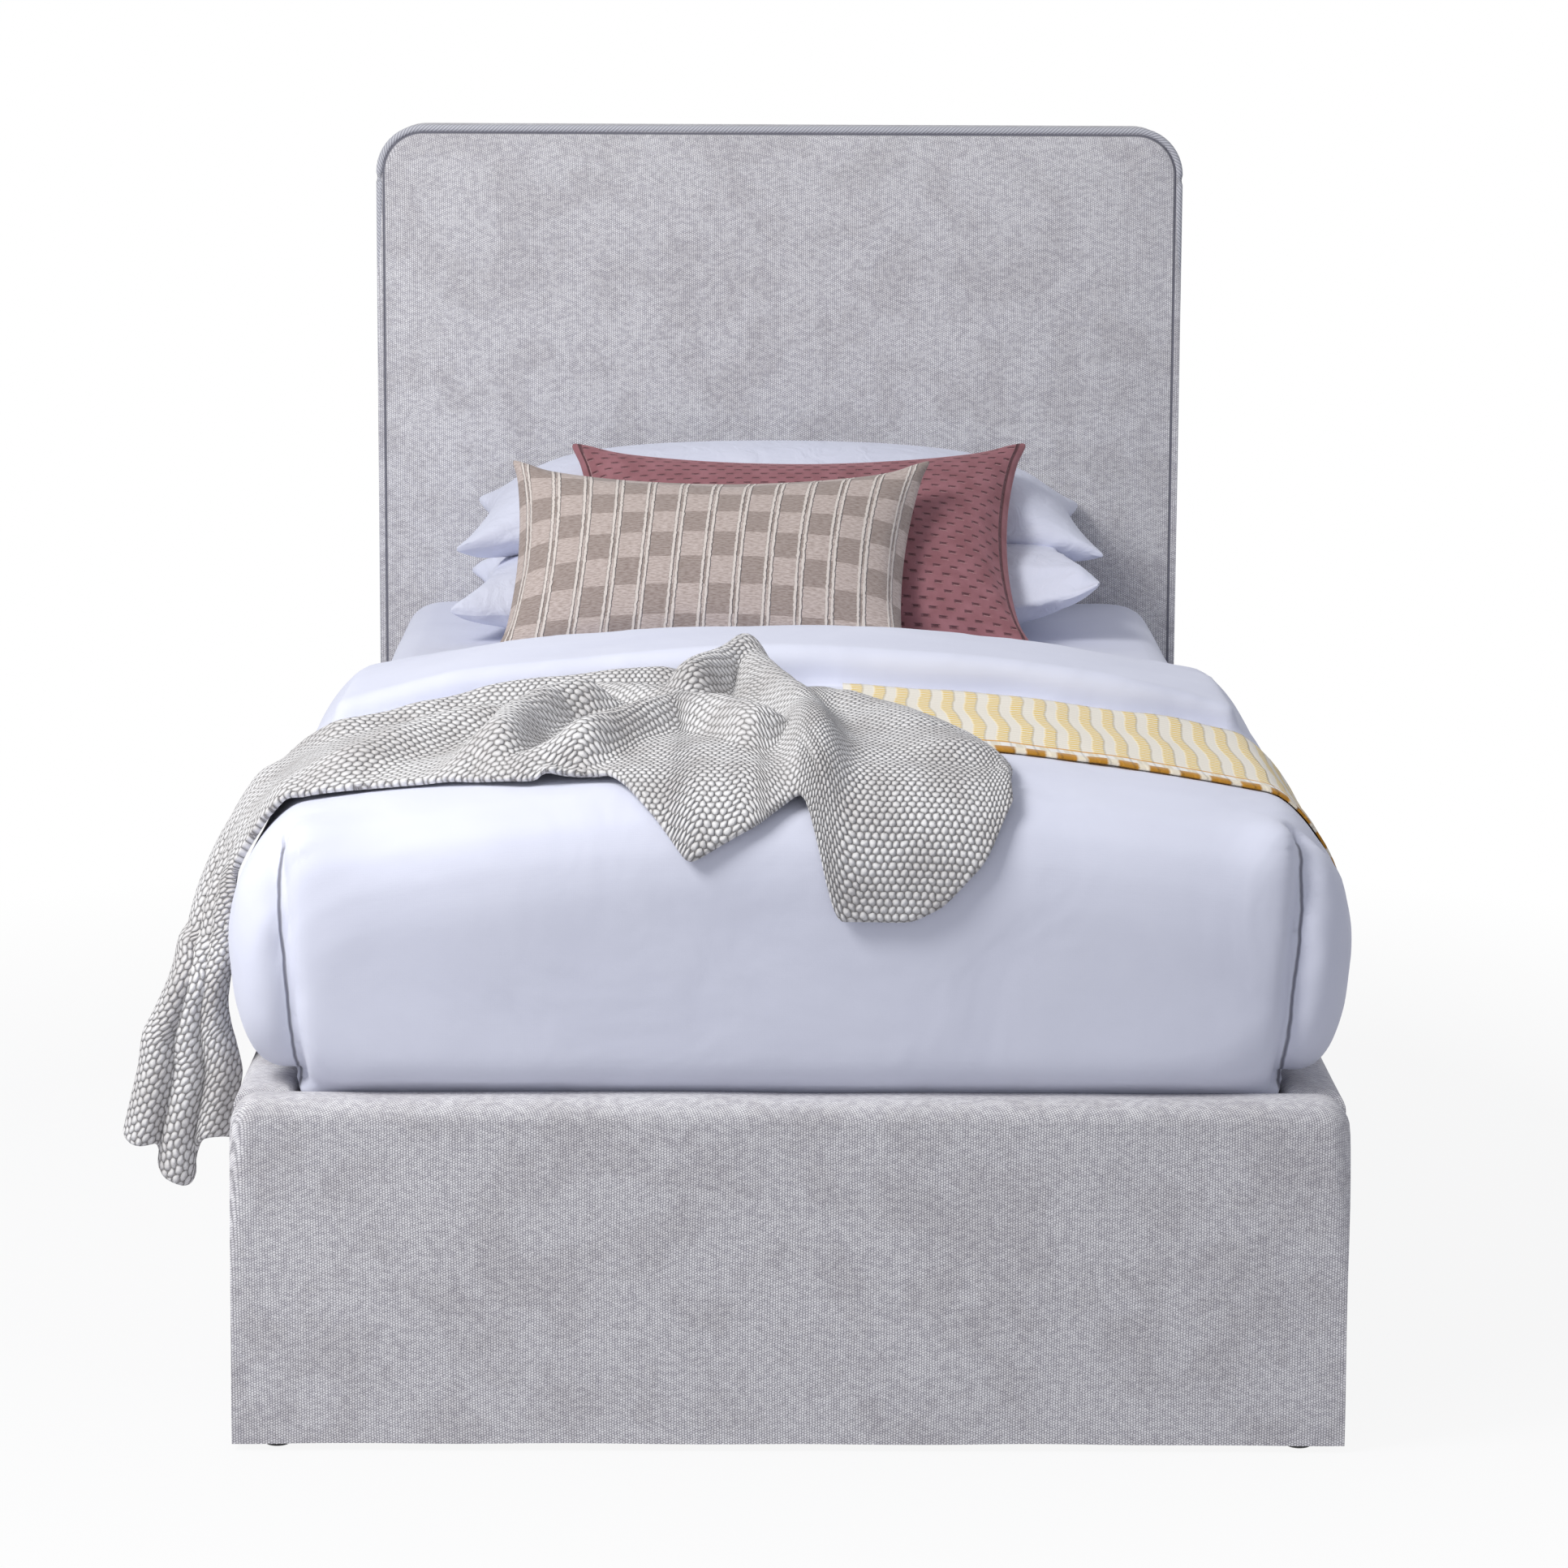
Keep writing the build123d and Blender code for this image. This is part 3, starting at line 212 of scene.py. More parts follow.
floor_finish, tree, shader = start_finish("floor_matt_paint", 0.9)
shader.inputs["Base Color"].default_value = colour("#C4C4C8")
spot = add(tree, "TexCoord")["Object"]
away = add(tree, "VectorMath", {0: spot}, operation="LENGTH")["Value"]
fade = add(tree, "MapRange", {"Value": away, "From Min": 1.0, "From Max": 2.0, "To Min": 0.90})["Result"]
fade = add(tree, "Math", {0: fade, 1: seen_directly(tree)}, operation="MULTIPLY")[0]
glow = add(tree, "Emission", {"Color": colour("#FFFFFF"), "Strength": 1.0})
blended = add(tree, "MixShader", {0: fade, 1: shader.outputs[0], 2: glow[0]})
tree.links.new(blended[0], tree.nodes["Material Output"].inputs["Surface"])
floor_mesh.materials.append(floor_finish)


# a square soft lamp, turned towards the middle of the bedding
soft = bpy.data.lights.new("key_lamp", "AREA")
soft.size = 1.3
soft.energy = 92
soft.color = colour("#FFFEFC")[:3]
lamp = bpy.data.objects.new("key_lamp", soft)
lamp.location = (-2.0, -1.9, 2.9)
lamp.rotation_euler = (Vector((0, -0.2, 0.5)) - lamp.location).to_track_quat("-Z", "Y").to_euler()
scene.collection.objects.link(lamp)
scene.view_settings.view_transform = "Standard"
print("room, floor and lamp ready")

# %% [markdown]
# ## Starting and finishing a piece
# Each piece is built in a bmesh, the editable mesh that Blender's modelling tools work on, and becomes an
# object only when it is done. It then rides on a body of the solid model, gets its finish, and hides the
# solid nodes that it stands for, so the two models stay one.

# %% Helpers for pieces
finishes = {}


def become(name, bm, finish, body="bed", stands_for=(), sharp=50):
    """Turn a bmesh into an object with its finish, and tie it to the solid model."""
    mesh = bpy.data.meshes.new(name)
    bm.to_mesh(mesh)
    bm.free()
    mesh.shade_smooth()
    mesh.set_sharp_from_angle(angle=math.radians(sharp))
    mesh.materials.append(finishes[finish])
    piece = bpy.data.objects.new(name, mesh)
    scene.collection.objects.link(piece)
    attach(piece, body)
    if stands_for:
        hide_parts(*stands_for)
    return piece


def box_mesh(low, high):
    """A bmesh box between two corners."""
    bm = bmesh.new()
    size = Vector(high) - Vector(low)
    middle = (Vector(high) + Vector(low)) / 2
    bmesh.ops.create_cube(bm, size=1, matrix=Matrix.Translation(middle) @ Matrix.Diagonal((*size, 1)))
    return bm


def round_edges(bm, test, radius, segments, axis=None):
    """Round over every edge whose two ends both pass a test, or only those along one axis."""
    picked = [edge for edge in bm.edges if all(test(vert.co) for vert in edge.verts)]
    if axis is not None:
        picked = [e for e in picked if abs((e.verts[0].co - e.verts[1].co).normalized()[axis]) > 0.99]
    bmesh.ops.bevel(
        bm, geom=picked, offset=radius, segments=segments, profile=0.5, affect="EDGES",
        offset_type="OFFSET", clamp_overlap=True, material=-1,
    )


def slice_up(bm, step):
    """Cut a mesh into cells of about step, so that its faces can be pushed in and out."""
    for axis in range(3):
        spots = [vert.co[axis] for vert in bm.verts]
        low, high = min(spots), max(spots)
        count = int((high - low) / step)
        for index in range(1, count):
            place, normal = Vector(), Vector()
            place[axis] = low + (high - low) * index / count
            normal[axis] = 1
            bmesh.ops.bisect_plane(
                bm, geom=bm.verts[:] + bm.edges[:] + bm.faces[:], plane_co=place, plane_no=normal, dist=1e-6,
            )


def push(bm, amount):
    """Move each vertex along its normal by amount(place)."""
    bm.normal_update()
    moves = [(vert, vert.normal * amount(vert.co)) for vert in bm.verts]
    for vert, move in moves:
        vert.co += move


def cloudy(place, size, seed=0.0):
    """Soft noise between about -1 and 1 whose lumps are size across."""
    return noise.noise(place / size + Vector((seed, seed, seed)))


def hump(value, middle, wide):
    """A smooth hump: 1 at its middle, and near 0 from twice its width on."""
    return math.exp(-((value - middle) / wide) ** 2)


print("modelling helpers ready")

# %% [markdown]
# ## Chenille
# The upholstery is a chenille weave: soft furry yarn that makes small beads 2.5 mm apart, in upright rows
# each half a bead on from the last, with painted shade in the gaps between beads, and flecks and cloudy
# patches where the pile leans another way.
# The pattern is laid out on x + y and z + y, which gives beads on the front, the sides and the top alike.

# %% Chenille finish
bead = 0.0025
seam_half, seam_top, seam_corner = 0.5082, 1.1382, 0.0512


def headboard_seam_shade(tree, spot):
    """Mask of painted shade in the groove of the seam inside the headboard's welt: 1 along it, about 3 mm
    wide, and 0 elsewhere.
    """
    axes = add(tree, "SeparateXYZ", {0: spot})
    side = add(tree, "Math", {0: axes["X"]}, operation="ABSOLUTE")[0]
    past = [
        add(tree, "Math", {0: value, 1: start}, operation="SUBTRACT")[0]
        for value, start in ((side, seam_half - seam_corner), (axes["Z"], seam_top - seam_corner))
    ]
    outer = [add(tree, "Math", {0: value, 1: 0.0}, operation="MAXIMUM")[0] for value in past]
    outer = add(tree, "CombineXYZ", {"X": outer[0], "Y": outer[1]})[0]
    outer = add(tree, "VectorMath", {0: outer}, operation="LENGTH")["Value"]
    inner = add(tree, "Math", {0: past[0], 1: past[1]}, operation="MAXIMUM")[0]
    inner = add(tree, "Math", {0: inner, 1: 0.0}, operation="MINIMUM")[0]
    away = add(tree, "Math", {0: outer, 1: inner}, operation="ADD")[0]
    return line_at(tree, away, seam_corner, 0.0008, 0.0022)


def chenille(seam_shaded=False):
    """Cool light grey chenille: matt beads of furry yarn with painted shade in the gaps between them, a sheen
    of loose pile, and painted shade along the welt's seam if asked.
    """
    made, tree, shader = start_finish("chenille_woven", 0.92, Sheen_Weight=0.2, Sheen_Roughness=0.45)
    spot = add(tree, "TexCoord")["Object"]
    axes = wobbled(tree, spot, 260.0, 0.0005)
    along = add(tree, "Math", {0: axes["X"], 1: axes["Y"]}, operation="ADD")[0]
    rise = add(tree, "Math", {0: axes["Z"], 1: axes["Y"]}, operation="ADD")[0]
    edge = roundness(tree, cell_offsets(tree, rise, along, bead, bead), 0.66)
    pile = add(tree, "TexNoise", {"Vector": spot, "Scale": 13.0, "Detail": 8.0, "Roughness": 0.70})["Fac"]
    lying = add(tree, "Mapping", {"Vector": spot, "Scale": (0.55, 0.9, 1.0)})[0]
    fleck = add(tree, "TexNoise", {"Vector": lying, "Scale": 230.0, "Detail": 2.0})["Fac"]
    # painted shade: each bead is drawn near white on top and grey towards its edges, for the shade in the
    # gaps between beads
    base = shades(tree, edge, "#FDFCFE", "#98979D", 0.05, 0.95)
    base = worn(tree, base, pile, "#F2F1F1", 0.42, 0.54)
    base = worn(tree, base, fleck, "#E6E5E8", 0.36, 0.60)
    height = add(tree, "Math", {0: 1.0, 1: edge}, operation="SUBTRACT")[0]
    if seam_shaded:
        # painted shade: the seam inside the welt is drawn dark grey for the shadow in its groove, and sunk
        base, height = sewn(tree, base, height, headboard_seam_shade(tree, spot), "#74747F", 2.0)
    paint(tree, shader, base, height, 0.0009, 0.7)
    return made


finishes["chenille"] = chenille()
finishes["chenille_seam_shaded"] = chenille(seam_shaded=True)
print("chenille beads", bead * 1000, "mm apart")

# %% [markdown]
# ## The padded headboard, footboard and rails
# Upholstery is foam under cloth: flat faces with rolled edges that are never quite straight. A box with
# its corners and edges bevelled has that form, and cutting it into cells of 2 cm lets soft noise swell
# the faces by a millimetre or two. Each pad stands for the foam and the cover of its part of the frame.

# %% Padded parts of the frame
half, foot, head, face = 0.520, -1.025, 1.025, 0.940
top, floor_gap = 0.335, 0.007
inner_foot, inner_side = -0.975, 0.460
pad_cell = 0.02


def padding(seed, swell=0.0012):
    """Noise that swells a pad a little, in lumps about 15 cm across."""
    return lambda place: swell * cloudy(place, 0.15, seed)


def near(value, target):
    """True where two lengths are the same within a tenth of a millimetre."""
    return abs(value - target) < 1e-4


def pad(name, bm, parts=("foam", "cover"), finish="chenille", body="bed"):
    """A finished pad, which stands for the foam and the cover of its part of the frame."""
    stands_for = [f"{name}_{part}" for part in parts]
    become(name + "_pad", bm, finish, body, stands_for, sharp=40)


# headboard: rounded top corners, then the front edge rolled over towards the welt
band, band_top, band_corner, band_roll = 0.517, 1.147, 0.060, 0.018
cloth_back = head - 0.0006
bm = box_mesh((-band, face, floor_gap), (band, cloth_back, band_top))
round_edges(bm, lambda p: near(p.z, band_top) and near(abs(p.x), band), band_corner, 14, axis=1)
round_edges(bm, lambda p: near(p.y, face) and p.z > floor_gap + 0.001, band_roll, 7)
slice_up(bm, pad_cell)


def headboard_form(place):
    """Swelling of the headboard: a slow crown that dips just inside the welt."""
    edge = min(band - abs(place.x), band_top - place.z)
    dip = -0.002 * hump(edge, 0.016, 0.010)
    crown = 0.004 * min(1, max(edge, 0) / 0.10)
    front = 1 if place.y < face + 0.012 else 0
    return front * (dip + crown + 0.0016 * cloudy(place, 0.17, 3.0))


push(bm, headboard_form)
pad("headboard", bm, finish="chenille_seam_shaded")

# footboard: rounded top corners, then a large roll outside and a small one towards the mattress
foot_corner = 0.028
bm = box_mesh((-half, foot, floor_gap), (half, inner_foot, top))
round_edges(bm, lambda p: near(p.z, top) and near(abs(p.x), half), foot_corner, 8, axis=1)
for side_y, roll, steps in ((foot, 0.020, 7), (inner_foot, 0.010, 5)):
    round_edges(bm, lambda p: near(p.y, side_y) and p.z > floor_gap + 0.001, roll, steps)
slice_up(bm, pad_cell)
push(bm, padding(1.0, 0.0018))
pad("footboard", bm)

# side rails: the right one ends above the drawers
rail_low, rail_roll, rail_cell = 0.235, 0.018, 0.03
for name, side, low in (("left_rail", -1, floor_gap), ("right_rail", 1, rail_low)):
    inner, outer = sorted((side * inner_side, side * half))
    bm = box_mesh((inner, inner_foot, low), (outer, face, top))
    round_edges(bm, lambda p: near(p.z, top), rail_roll, 7)
    slice_up(bm, rail_cell)
    push(bm, padding(4.0 + side))
    pad(name, bm)

# post between the drawers, with every edge rounded
post_near, post_far, post_roll = -0.0475, 0.0125, 0.008
bm = box_mesh((inner_side, post_near, floor_gap), (half, post_far, rail_low))
round_edges(bm, lambda p: True, post_roll, 4)
pad("middle_post", bm, parts=("cover",))

# %% [markdown]
# ## Drawer fronts
# Each drawer front is a board wrapped in foam and the same chenille, with soft rolled edges all round.
# It is made like the footboard, but rides on its drawer, so that it comes out with it.

# %% Drawer fronts
front_half, front_low, front_high = 0.45975, 0.012, 0.212
front_inner, front_roll = 0.488, 0.012
drawer_middles = (-0.51125, 0.47625)
for number, middle in enumerate(drawer_middles, 1):
    bm = box_mesh((front_inner, middle - front_half, front_low), (half, middle + front_half, front_high))
    round_edges(bm, lambda p: near(p.x, half), front_roll, 6)
    slice_up(bm, pad_cell)
    push(bm, padding(7.0 + number))
    pad(f"drawer_{number}_front", bm, body=f"drawer_{number}")
print("drawer fronts at y", drawer_middles)

# %% [markdown]
# ## The welt round the headboard
# A cord covered in a twill strip is sewn into the seam round the headboard's front. It follows a line,
# so it is drawn as a curve with a round section and made into a mesh, which gives it a map along its
# length for the slanting twill ribs.

# %% Welt
def twill():
    """Light grey cotton twill: ribs that slant round the cord, about 2.5 mm apart."""
    made, tree, shader = start_finish("cotton_twill_woven", 0.85, Sheen_Weight=0.15)
    spot = add(tree, "UVMap", uv_map="map")[0]
    ribs = add(
        tree, "TexWave", {"Vector": spot, "Scale": 0.314 / 0.0025, "Distortion": 0.6, "Detail": 1.0},
        wave_type="BANDS", bands_direction="DIAGONAL",
    )["Fac"]
    base = shades(tree, ribs, "#A3A4AC", "#D2D3DA", 0.1, 0.8)
    paint(tree, shader, base, ribs, 0.0005, 0.7)
    return made


finishes["piping_cloth"] = twill()


def tube(name, places, radius, finish, stands_for, steps=12):
    """A round cord through some places, as a mesh with a map in metres."""
    bm = bmesh.new()
    uv = bm.loops.layers.uv.new("map")
    rings = []
    for index, place in enumerate(places):
        before, after = places[max(index - 1, 0)], places[min(index + 1, len(places) - 1)]
        heading = (after - before).normalized()
        turn = heading.to_track_quat("Z", "Y").to_matrix().to_4x4()
        ring = bmesh.ops.create_circle(
            bm, segments=steps, radius=radius, matrix=Matrix.Translation(place) @ turn,
        )["verts"]
        rings.append(ring)
    run = 0.0
    for first, second, start, end in zip(rings, rings[1:], places, places[1:]):
        stretch = (end - start).length
        for step in range(steps):
            other = (step + 1) % steps
            strip = bm.faces.new((first[step], first[other], second[other], second[step]))
            around = 2 * math.pi * radius / steps
            corners = ((0, step), (0, step + 1), (stretch, step + 1), (stretch, step))
            for loop, (on, turned) in zip(strip.loops, corners):
                loop[uv].uv = (run + on, turned * around)
        run += stretch
    bm.faces.new(rings[0])
    bm.faces.new(rings[-1])
    bmesh.ops.recalc_face_normals(bm, faces=bm.faces[:])
    return become(name, bm, finish, stands_for=stands_for)


def between(start, end, count):
    """Places in count even steps from start to end, both ends included."""
    return [start.lerp(end, i / count) for i in range(count + 1)]


welt_x, welt_top, welt_y, welt_corner, welt_radius = 0.5135, 1.1435, 0.9468, 0.0565, 0.0045
shoulder_x, shoulder_z = welt_x - welt_corner, welt_top - welt_corner
left_low, right_low = (Vector((side * welt_x, welt_y, floor_gap)) for side in (-1, 1))
line = between(left_low, Vector((-welt_x, welt_y, shoulder_z)), 90)
for side, start in ((-1, math.pi), (1, math.pi / 2)):
    middle = Vector((side * shoulder_x, welt_y, shoulder_z))
    for i in range(1, 12):
        angle = start - math.pi / 2 * i / 12
        line.append(middle + welt_corner * Vector((math.cos(angle), 0, math.sin(angle))))
    if side < 0:
        line += between(Vector((-shoulder_x, welt_y, welt_top)), Vector((shoulder_x, welt_y, welt_top)), 80)
line += between(Vector((welt_x, welt_y, shoulder_z)), right_low, 90)
tube("headboard_welt", line, welt_radius, "piping_cloth", ("headboard_piping",))
print("welt through", len(line), "places")

# %% [markdown]
# ## White cotton
# The sheet, the duvet and the pillows are white cotton sateen. Its threads are too fine to show, so a
# weave three times as coarse stands in for them, with faint creases from warped noise.

# %% Cotton finish
def duvet_seam_shade(tree, spot):
    """Mask of painted shade in the valley of the sewn corners at the duvet's foot: 1 along them, 3 mm wide,
    and 0 elsewhere.
    """
    axes = add(tree, "SeparateXYZ", {0: spot})
    wander = add(tree, "TexNoise", {"Vector": spot, "Scale": 22.0, "Detail": 2.0})["Fac"]
    side = add(tree, "Math", {0: axes["X"]}, operation="ABSOLUTE")[0]
    rise = {"Value": axes["Z"], "From Min": 0.34, "From Max": 0.52, "To Min": 0.456, "To Max": 0.471}
    course = add(tree, "MapRange", rise)["Result"]
    course = add(tree, "Math", {0: wander, 1: 0.008, 2: course}, operation="MULTIPLY_ADD")[0]
    line = line_at(tree, side, course, 0.0006, 0.0022, 0.85)
    # only at the foot, and only below the duvet's top
    for value, start, end in ((axes["Y"], -0.930, -0.905), (axes["Z"], 0.584, 0.592)):
        ends = {"Value": value, "From Min": start, "From Max": end, "To Min": 1.0, "To Max": 0.0}
        share = add(tree, "MapRange", ends)["Result"]
        line = add(tree, "Math", {0: line, 1: share}, operation="MULTIPLY")[0]
    return line


def cotton(name, creases, seam_shade=False):
    """White cotton sateen: smooth with a soft gloss, creased, and with painted shade along the duvet's corner
    seam lines if asked.
    """
    made, tree, shader = start_finish(name, 0.72, Sheen_Weight=0.12, Specular_IOR_Level=0.3)
    spot = add(tree, "TexCoord")["Object"]
    thread = add(tree, "TexVoronoi", {"Vector": spot, "Scale": 1 / 0.0012, "Randomness": 0.3})["Distance"]
    slow = add(tree, "TexNoise", {"Vector": spot, "Scale": 6.0, "Detail": 3.0, "Distortion": 0.6})["Fac"]
    fine = add(tree, "TexNoise", {"Vector": spot, "Scale": 26.0, "Detail": 4.0, "Distortion": 1.2})["Fac"]
    base = shades(tree, slow, "#DDE0F0", "#E3E6F5", 0.3, 0.7)
    fine = add(tree, "Math", {0: fine, 1: creases}, operation="MULTIPLY")[0]
    slow = add(tree, "Math", {0: slow, 1: 2.0, 2: fine}, operation="MULTIPLY_ADD")[0]
    height = add(tree, "Math", {0: thread, 1: 0.03, 2: slow}, operation="MULTIPLY_ADD")[0]
    if seam_shade:
        # painted shade: the duvet's corner seam lines are drawn dark grey for the shade in their valleys, and
        # sunk
        base, height = sewn(tree, base, height, duvet_seam_shade(tree, spot), "#6A6A78", 1.2)
    paint(tree, shader, base, height, 0.004, 0.5)
    return made


finishes["white_cotton"] = cotton("cotton_sateen_woven", 0.35)
finishes["creased_cotton"] = cotton("cotton_sateen_creased", 2.2)
finishes["duvet_cotton"] = cotton("cotton_sateen_seam_shaded", 0.12, seam_shade=True)
print("cotton ready")

# %% [markdown]
# ## Mattress and fitted sheet
# The mattress is a block with rounded corners and edges, in striped ticking. The sheet is pulled over it:
# the same block a little larger, open below, with a wall as thick as the cloth.

# %% Mattress
def ticking():
    """Mattress ticking: heavy white cotton with a faint woven stripe every 12 mm."""
    made, tree, shader = start_finish("cotton_ticking_woven", 0.9, Sheen_Weight=0.1)
    spot = add(tree, "TexCoord")["Object"]
    stripe = add(tree, "TexWave", {"Vector": spot, "Scale": 0.314 / 0.012}, bands_direction="X")["Fac"]
    quilt = add(tree, "TexVoronoi", {"Vector": spot, "Scale": 1 / 0.07, "Randomness": 0.0})["Distance"]
    base = shades(tree, stripe, "#D9DAE2", "#EFEFF2", 0.4, 0.6)
    paint(tree, shader, base, quilt, 0.006, 0.6)
    return made


finishes["ticking"] = ticking()
bed_low, bed_top = 0.285, 0.535
bed_near, bed_far, bed_half = -0.964, 0.936, 0.450
bed_corner, bed_edge = 0.05, 0.032
sheet_gap, sheet_low, sheet_thick = 0.0015, 0.325, 0.0009


def mattress_form(grow, low, high):
    """The mattress's block with its upright corners and its top edge rounded."""
    bm = box_mesh((-bed_half - grow, bed_near - grow, low), (bed_half + grow, bed_far + grow, high))
    round_edges(bm, lambda p: True, bed_corner, 10, axis=2)
    round_edges(bm, lambda p: near(p.z, high), bed_edge, 8)
    return bm


def spread(bm):
    """Let the sides swell over the frame's edge, where no duvet holds them in."""
    for vert in bm.verts:
        free = min(1, max(0, (vert.co.y - 0.09) / 0.10))
        height = min(1, max(0, (vert.co.z - 0.345) / 0.08))
        vert.co.x += math.copysign(0.024, vert.co.x) * free * height * (abs(vert.co.x) / bed_half) ** 6


bm = mattress_form(0, bed_low, bed_top)
slice_up(bm, 0.05)
push(bm, lambda place: 0.001 * cloudy(place, 0.2, 2.0))
spread(bm)
become("mattress_body", bm, "ticking", stands_for=("mattress",))

bm = mattress_form(sheet_gap, sheet_low, bed_top + sheet_gap)
below = [f for f in bm.faces if all(near(v.co.z, sheet_low) for v in f.verts)]
bmesh.ops.delete(bm, geom=below, context="FACES")
slice_up(bm, 0.025)


def sheet_creases(place):
    """Small creases that run out of the corners of the sheet, always away from the mattress."""
    return 0.0008 + 0.0008 * cloudy(Vector((place.x * 3, place.y, place.z * 2)), 0.09, 5.0)


push(bm, sheet_creases)
spread(bm)
bmesh.ops.solidify(bm, geom=bm.faces[:], thickness=sheet_thick)
bmesh.ops.recalc_face_normals(bm, faces=bm.faces[:])
sheet_piece = become("bed_sheet", bm, "white_cotton", stands_for=("fitted_sheet",))
print("mattress and sheet ready")

# %% [markdown]
# ## Soft pieces
# A pillow is two cloths sewn together round their edges and filled, so it swells in the middle and pulls
# in along its sides, and the spare cloth there falls into small folds. Cloth simulation with pressure
# makes these folds. The pieces start close to their real form, and each point may move only a little,
# so that they stay where the solid model has them.

# %% Helpers for soft pieces
def places_of(piece):
    """The places of a piece's vertices as an array."""
    flat = np.empty(len(piece.data.vertices) * 3)
    piece.data.vertices.foreach_get("co", flat)
    return flat.reshape(-1, 3)


def set_places(piece, places):
    """Move a piece's vertices to new places."""
    piece.data.vertices.foreach_set("co", places.ravel())
    piece.data.update()


def fill_up(piece, pressure, cap, spare, frames=20):
    """Swell a closed piece under pressure, with spare cloth to fold, and keep every point within cap."""
    before = places_of(piece)
    cloth = piece.modifiers.new("Cloth", "CLOTH")
    cloth.settings.quality = 6
    cloth.settings.mass = 0.25
    cloth.settings.tension_stiffness = 20
    cloth.settings.compression_stiffness = 20
    cloth.settings.shear_stiffness = 8
    cloth.settings.bending_stiffness = 0.15
    cloth.settings.use_pressure = True
    cloth.settings.uniform_pressure_force = pressure
    cloth.settings.shrink_min = -spare
    cloth.settings.effector_weights.gravity = 0
    cloth.point_cache.frame_start = 1
    cloth.point_cache.frame_end = frames
    for number in range(1, frames + 1):
        scene.frame_set(number)
    shown = piece.evaluated_get(bpy.context.evaluated_depsgraph_get())
    flat = np.empty(len(shown.data.vertices) * 3)
    shown.data.vertices.foreach_get("co", flat)
    after = flat.reshape(-1, 3)
    piece.modifiers.remove(cloth)
    scene.frame_set(1)
    move = after - before
    move -= move.mean(axis=0)
    length = np.linalg.norm(move, axis=1, keepdims=True)
    set_places(piece, before + move * np.minimum(1, cap / np.maximum(length, 1e-9)))
    print(piece.name, "moved up to", round(float(length.max()) * 1000, 1), "mm, kept within", cap * 1000)


def subdivide(piece, levels=1):
    """Smooth a finished soft piece with a subdivision surface."""
    smooth = piece.modifiers.new("Subdivision", "SUBSURF")
    smooth.levels = levels
    smooth.render_levels = levels


def cushion(
    name, finish, corners, size, draw, crown, under, stands_for,
    cell=0.012, droop=(0.0, 0.0), full=0.0, crease=0.0,
):
    """A cushion laid flat, with a map of its cloth in metres.

    corners are its left and right ends at the near and the far edge, size its half width and half
    length as cloth, draw how far its sides and its two long edges are pulled in at their middles. crown
    and under are how far it swells up and down, cell is the size of its mesh, droop how far its two ends
    sink, full fattens them, and crease is how high the folds there are.
    """
    (near_left, near_right), (far_left, far_right) = corners
    bm = bmesh.new()
    uv = bm.loops.layers.uv.new("map")
    columns, rows = (round(2 * half_size / cell) for half_size in size)
    bmesh.ops.create_grid(bm, x_segments=columns, y_segments=rows, size=0.5)
    bmesh.ops.solidify(bm, geom=bm.faces[:], thickness=0.007)
    for cloth_face in bm.faces:
        for loop in cloth_face.loops:
            loop[uv].uv = (loop.vert.co.x * 2 * size[0], loop.vert.co.y * 2 * size[1])
    for vert in bm.verts:
        u, v = 2 * vert.co.x, 2 * vert.co.y
        up = vert.co.z > -0.0001
        ends = 0.12 + 0.88 * math.sqrt(max(1 - u * u, 0))
        ends += (1 - ends) * full
        puff = ends * (1 - abs(v) ** 2.4) * (1 - u ** 8)
        reach = crown if up else under
        left = Vector(near_left).lerp(Vector(far_left), (v + 1) / 2)
        right = Vector(near_right).lerp(Vector(far_right), (v + 1) / 2)
        left.x += draw[0] * (1 - v * v)
        right.x -= draw[0] * (1 - v * v)
        spot = left.lerp(right, (u + 1) / 2)
        spot.y -= draw[2 if v > 0 else 1] * v * (1 - u * u)
        sag = droop[0 if u < 0 else 1] * (0.55 * abs(u) ** 3 + 0.45 * u ** 8)
        fold = 0.5 - abs(cloudy(Vector((spot.x, 2.2 * spot.y, 0)), 0.045, 3.0))
        puff += crease * fold * abs(u) ** 3 * (1 - u ** 8) / reach
        vert.co = Vector((spot.x, spot.y, (1 if up else -1) * (0.0035 + reach * puff) - sag))
    bmesh.ops.recalc_face_normals(bm, faces=bm.faces[:])
    return become(name, bm, finish, stands_for=stands_for, sharp=80)


def middle_of(node):
    """Middle of a solid node's box."""
    low, high = (Vector(corner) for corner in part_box(node))
    return (low + high) / 2


def settle(piece, place, tilt, pressure, cap, spare):
    """Fill a cushion, smooth it, tilt it about x and put it in its place."""
    fill_up(piece, pressure, cap, spare)
    subdivide(piece)
    piece.data.transform(Matrix.Translation(place) @ Matrix.Rotation(math.radians(tilt), 4, "X"))


print("soft helpers ready")

# %% [markdown]
# ## Pillows
# Two plain white pillows lie at the headboard, the upper one leaning on it. Only their ends and the top
# of the upper one show behind the cushions, and those ends are flat and creased.

# %% Pillows
sheet_top = bed_top + sheet_gap
flat_corners = ((-0.395, -0.208), (0.395, -0.208)), ((-0.39, 0.20), (0.39, 0.20))
pillow = cushion(
    "pillow_flat", "creased_cotton", flat_corners, (0.40, 0.21), (0.016, 0.012, 0.012), 0.062, 0.030,
    ("pillow_lower",), droop=(-0.012, -0.055), full=0.5, crease=0.012,
)
settle(pillow, (middle_of("pillow_lower").x, 0.721, sheet_top + 0.0338), 0, 1.5, 0.012, 0.05)

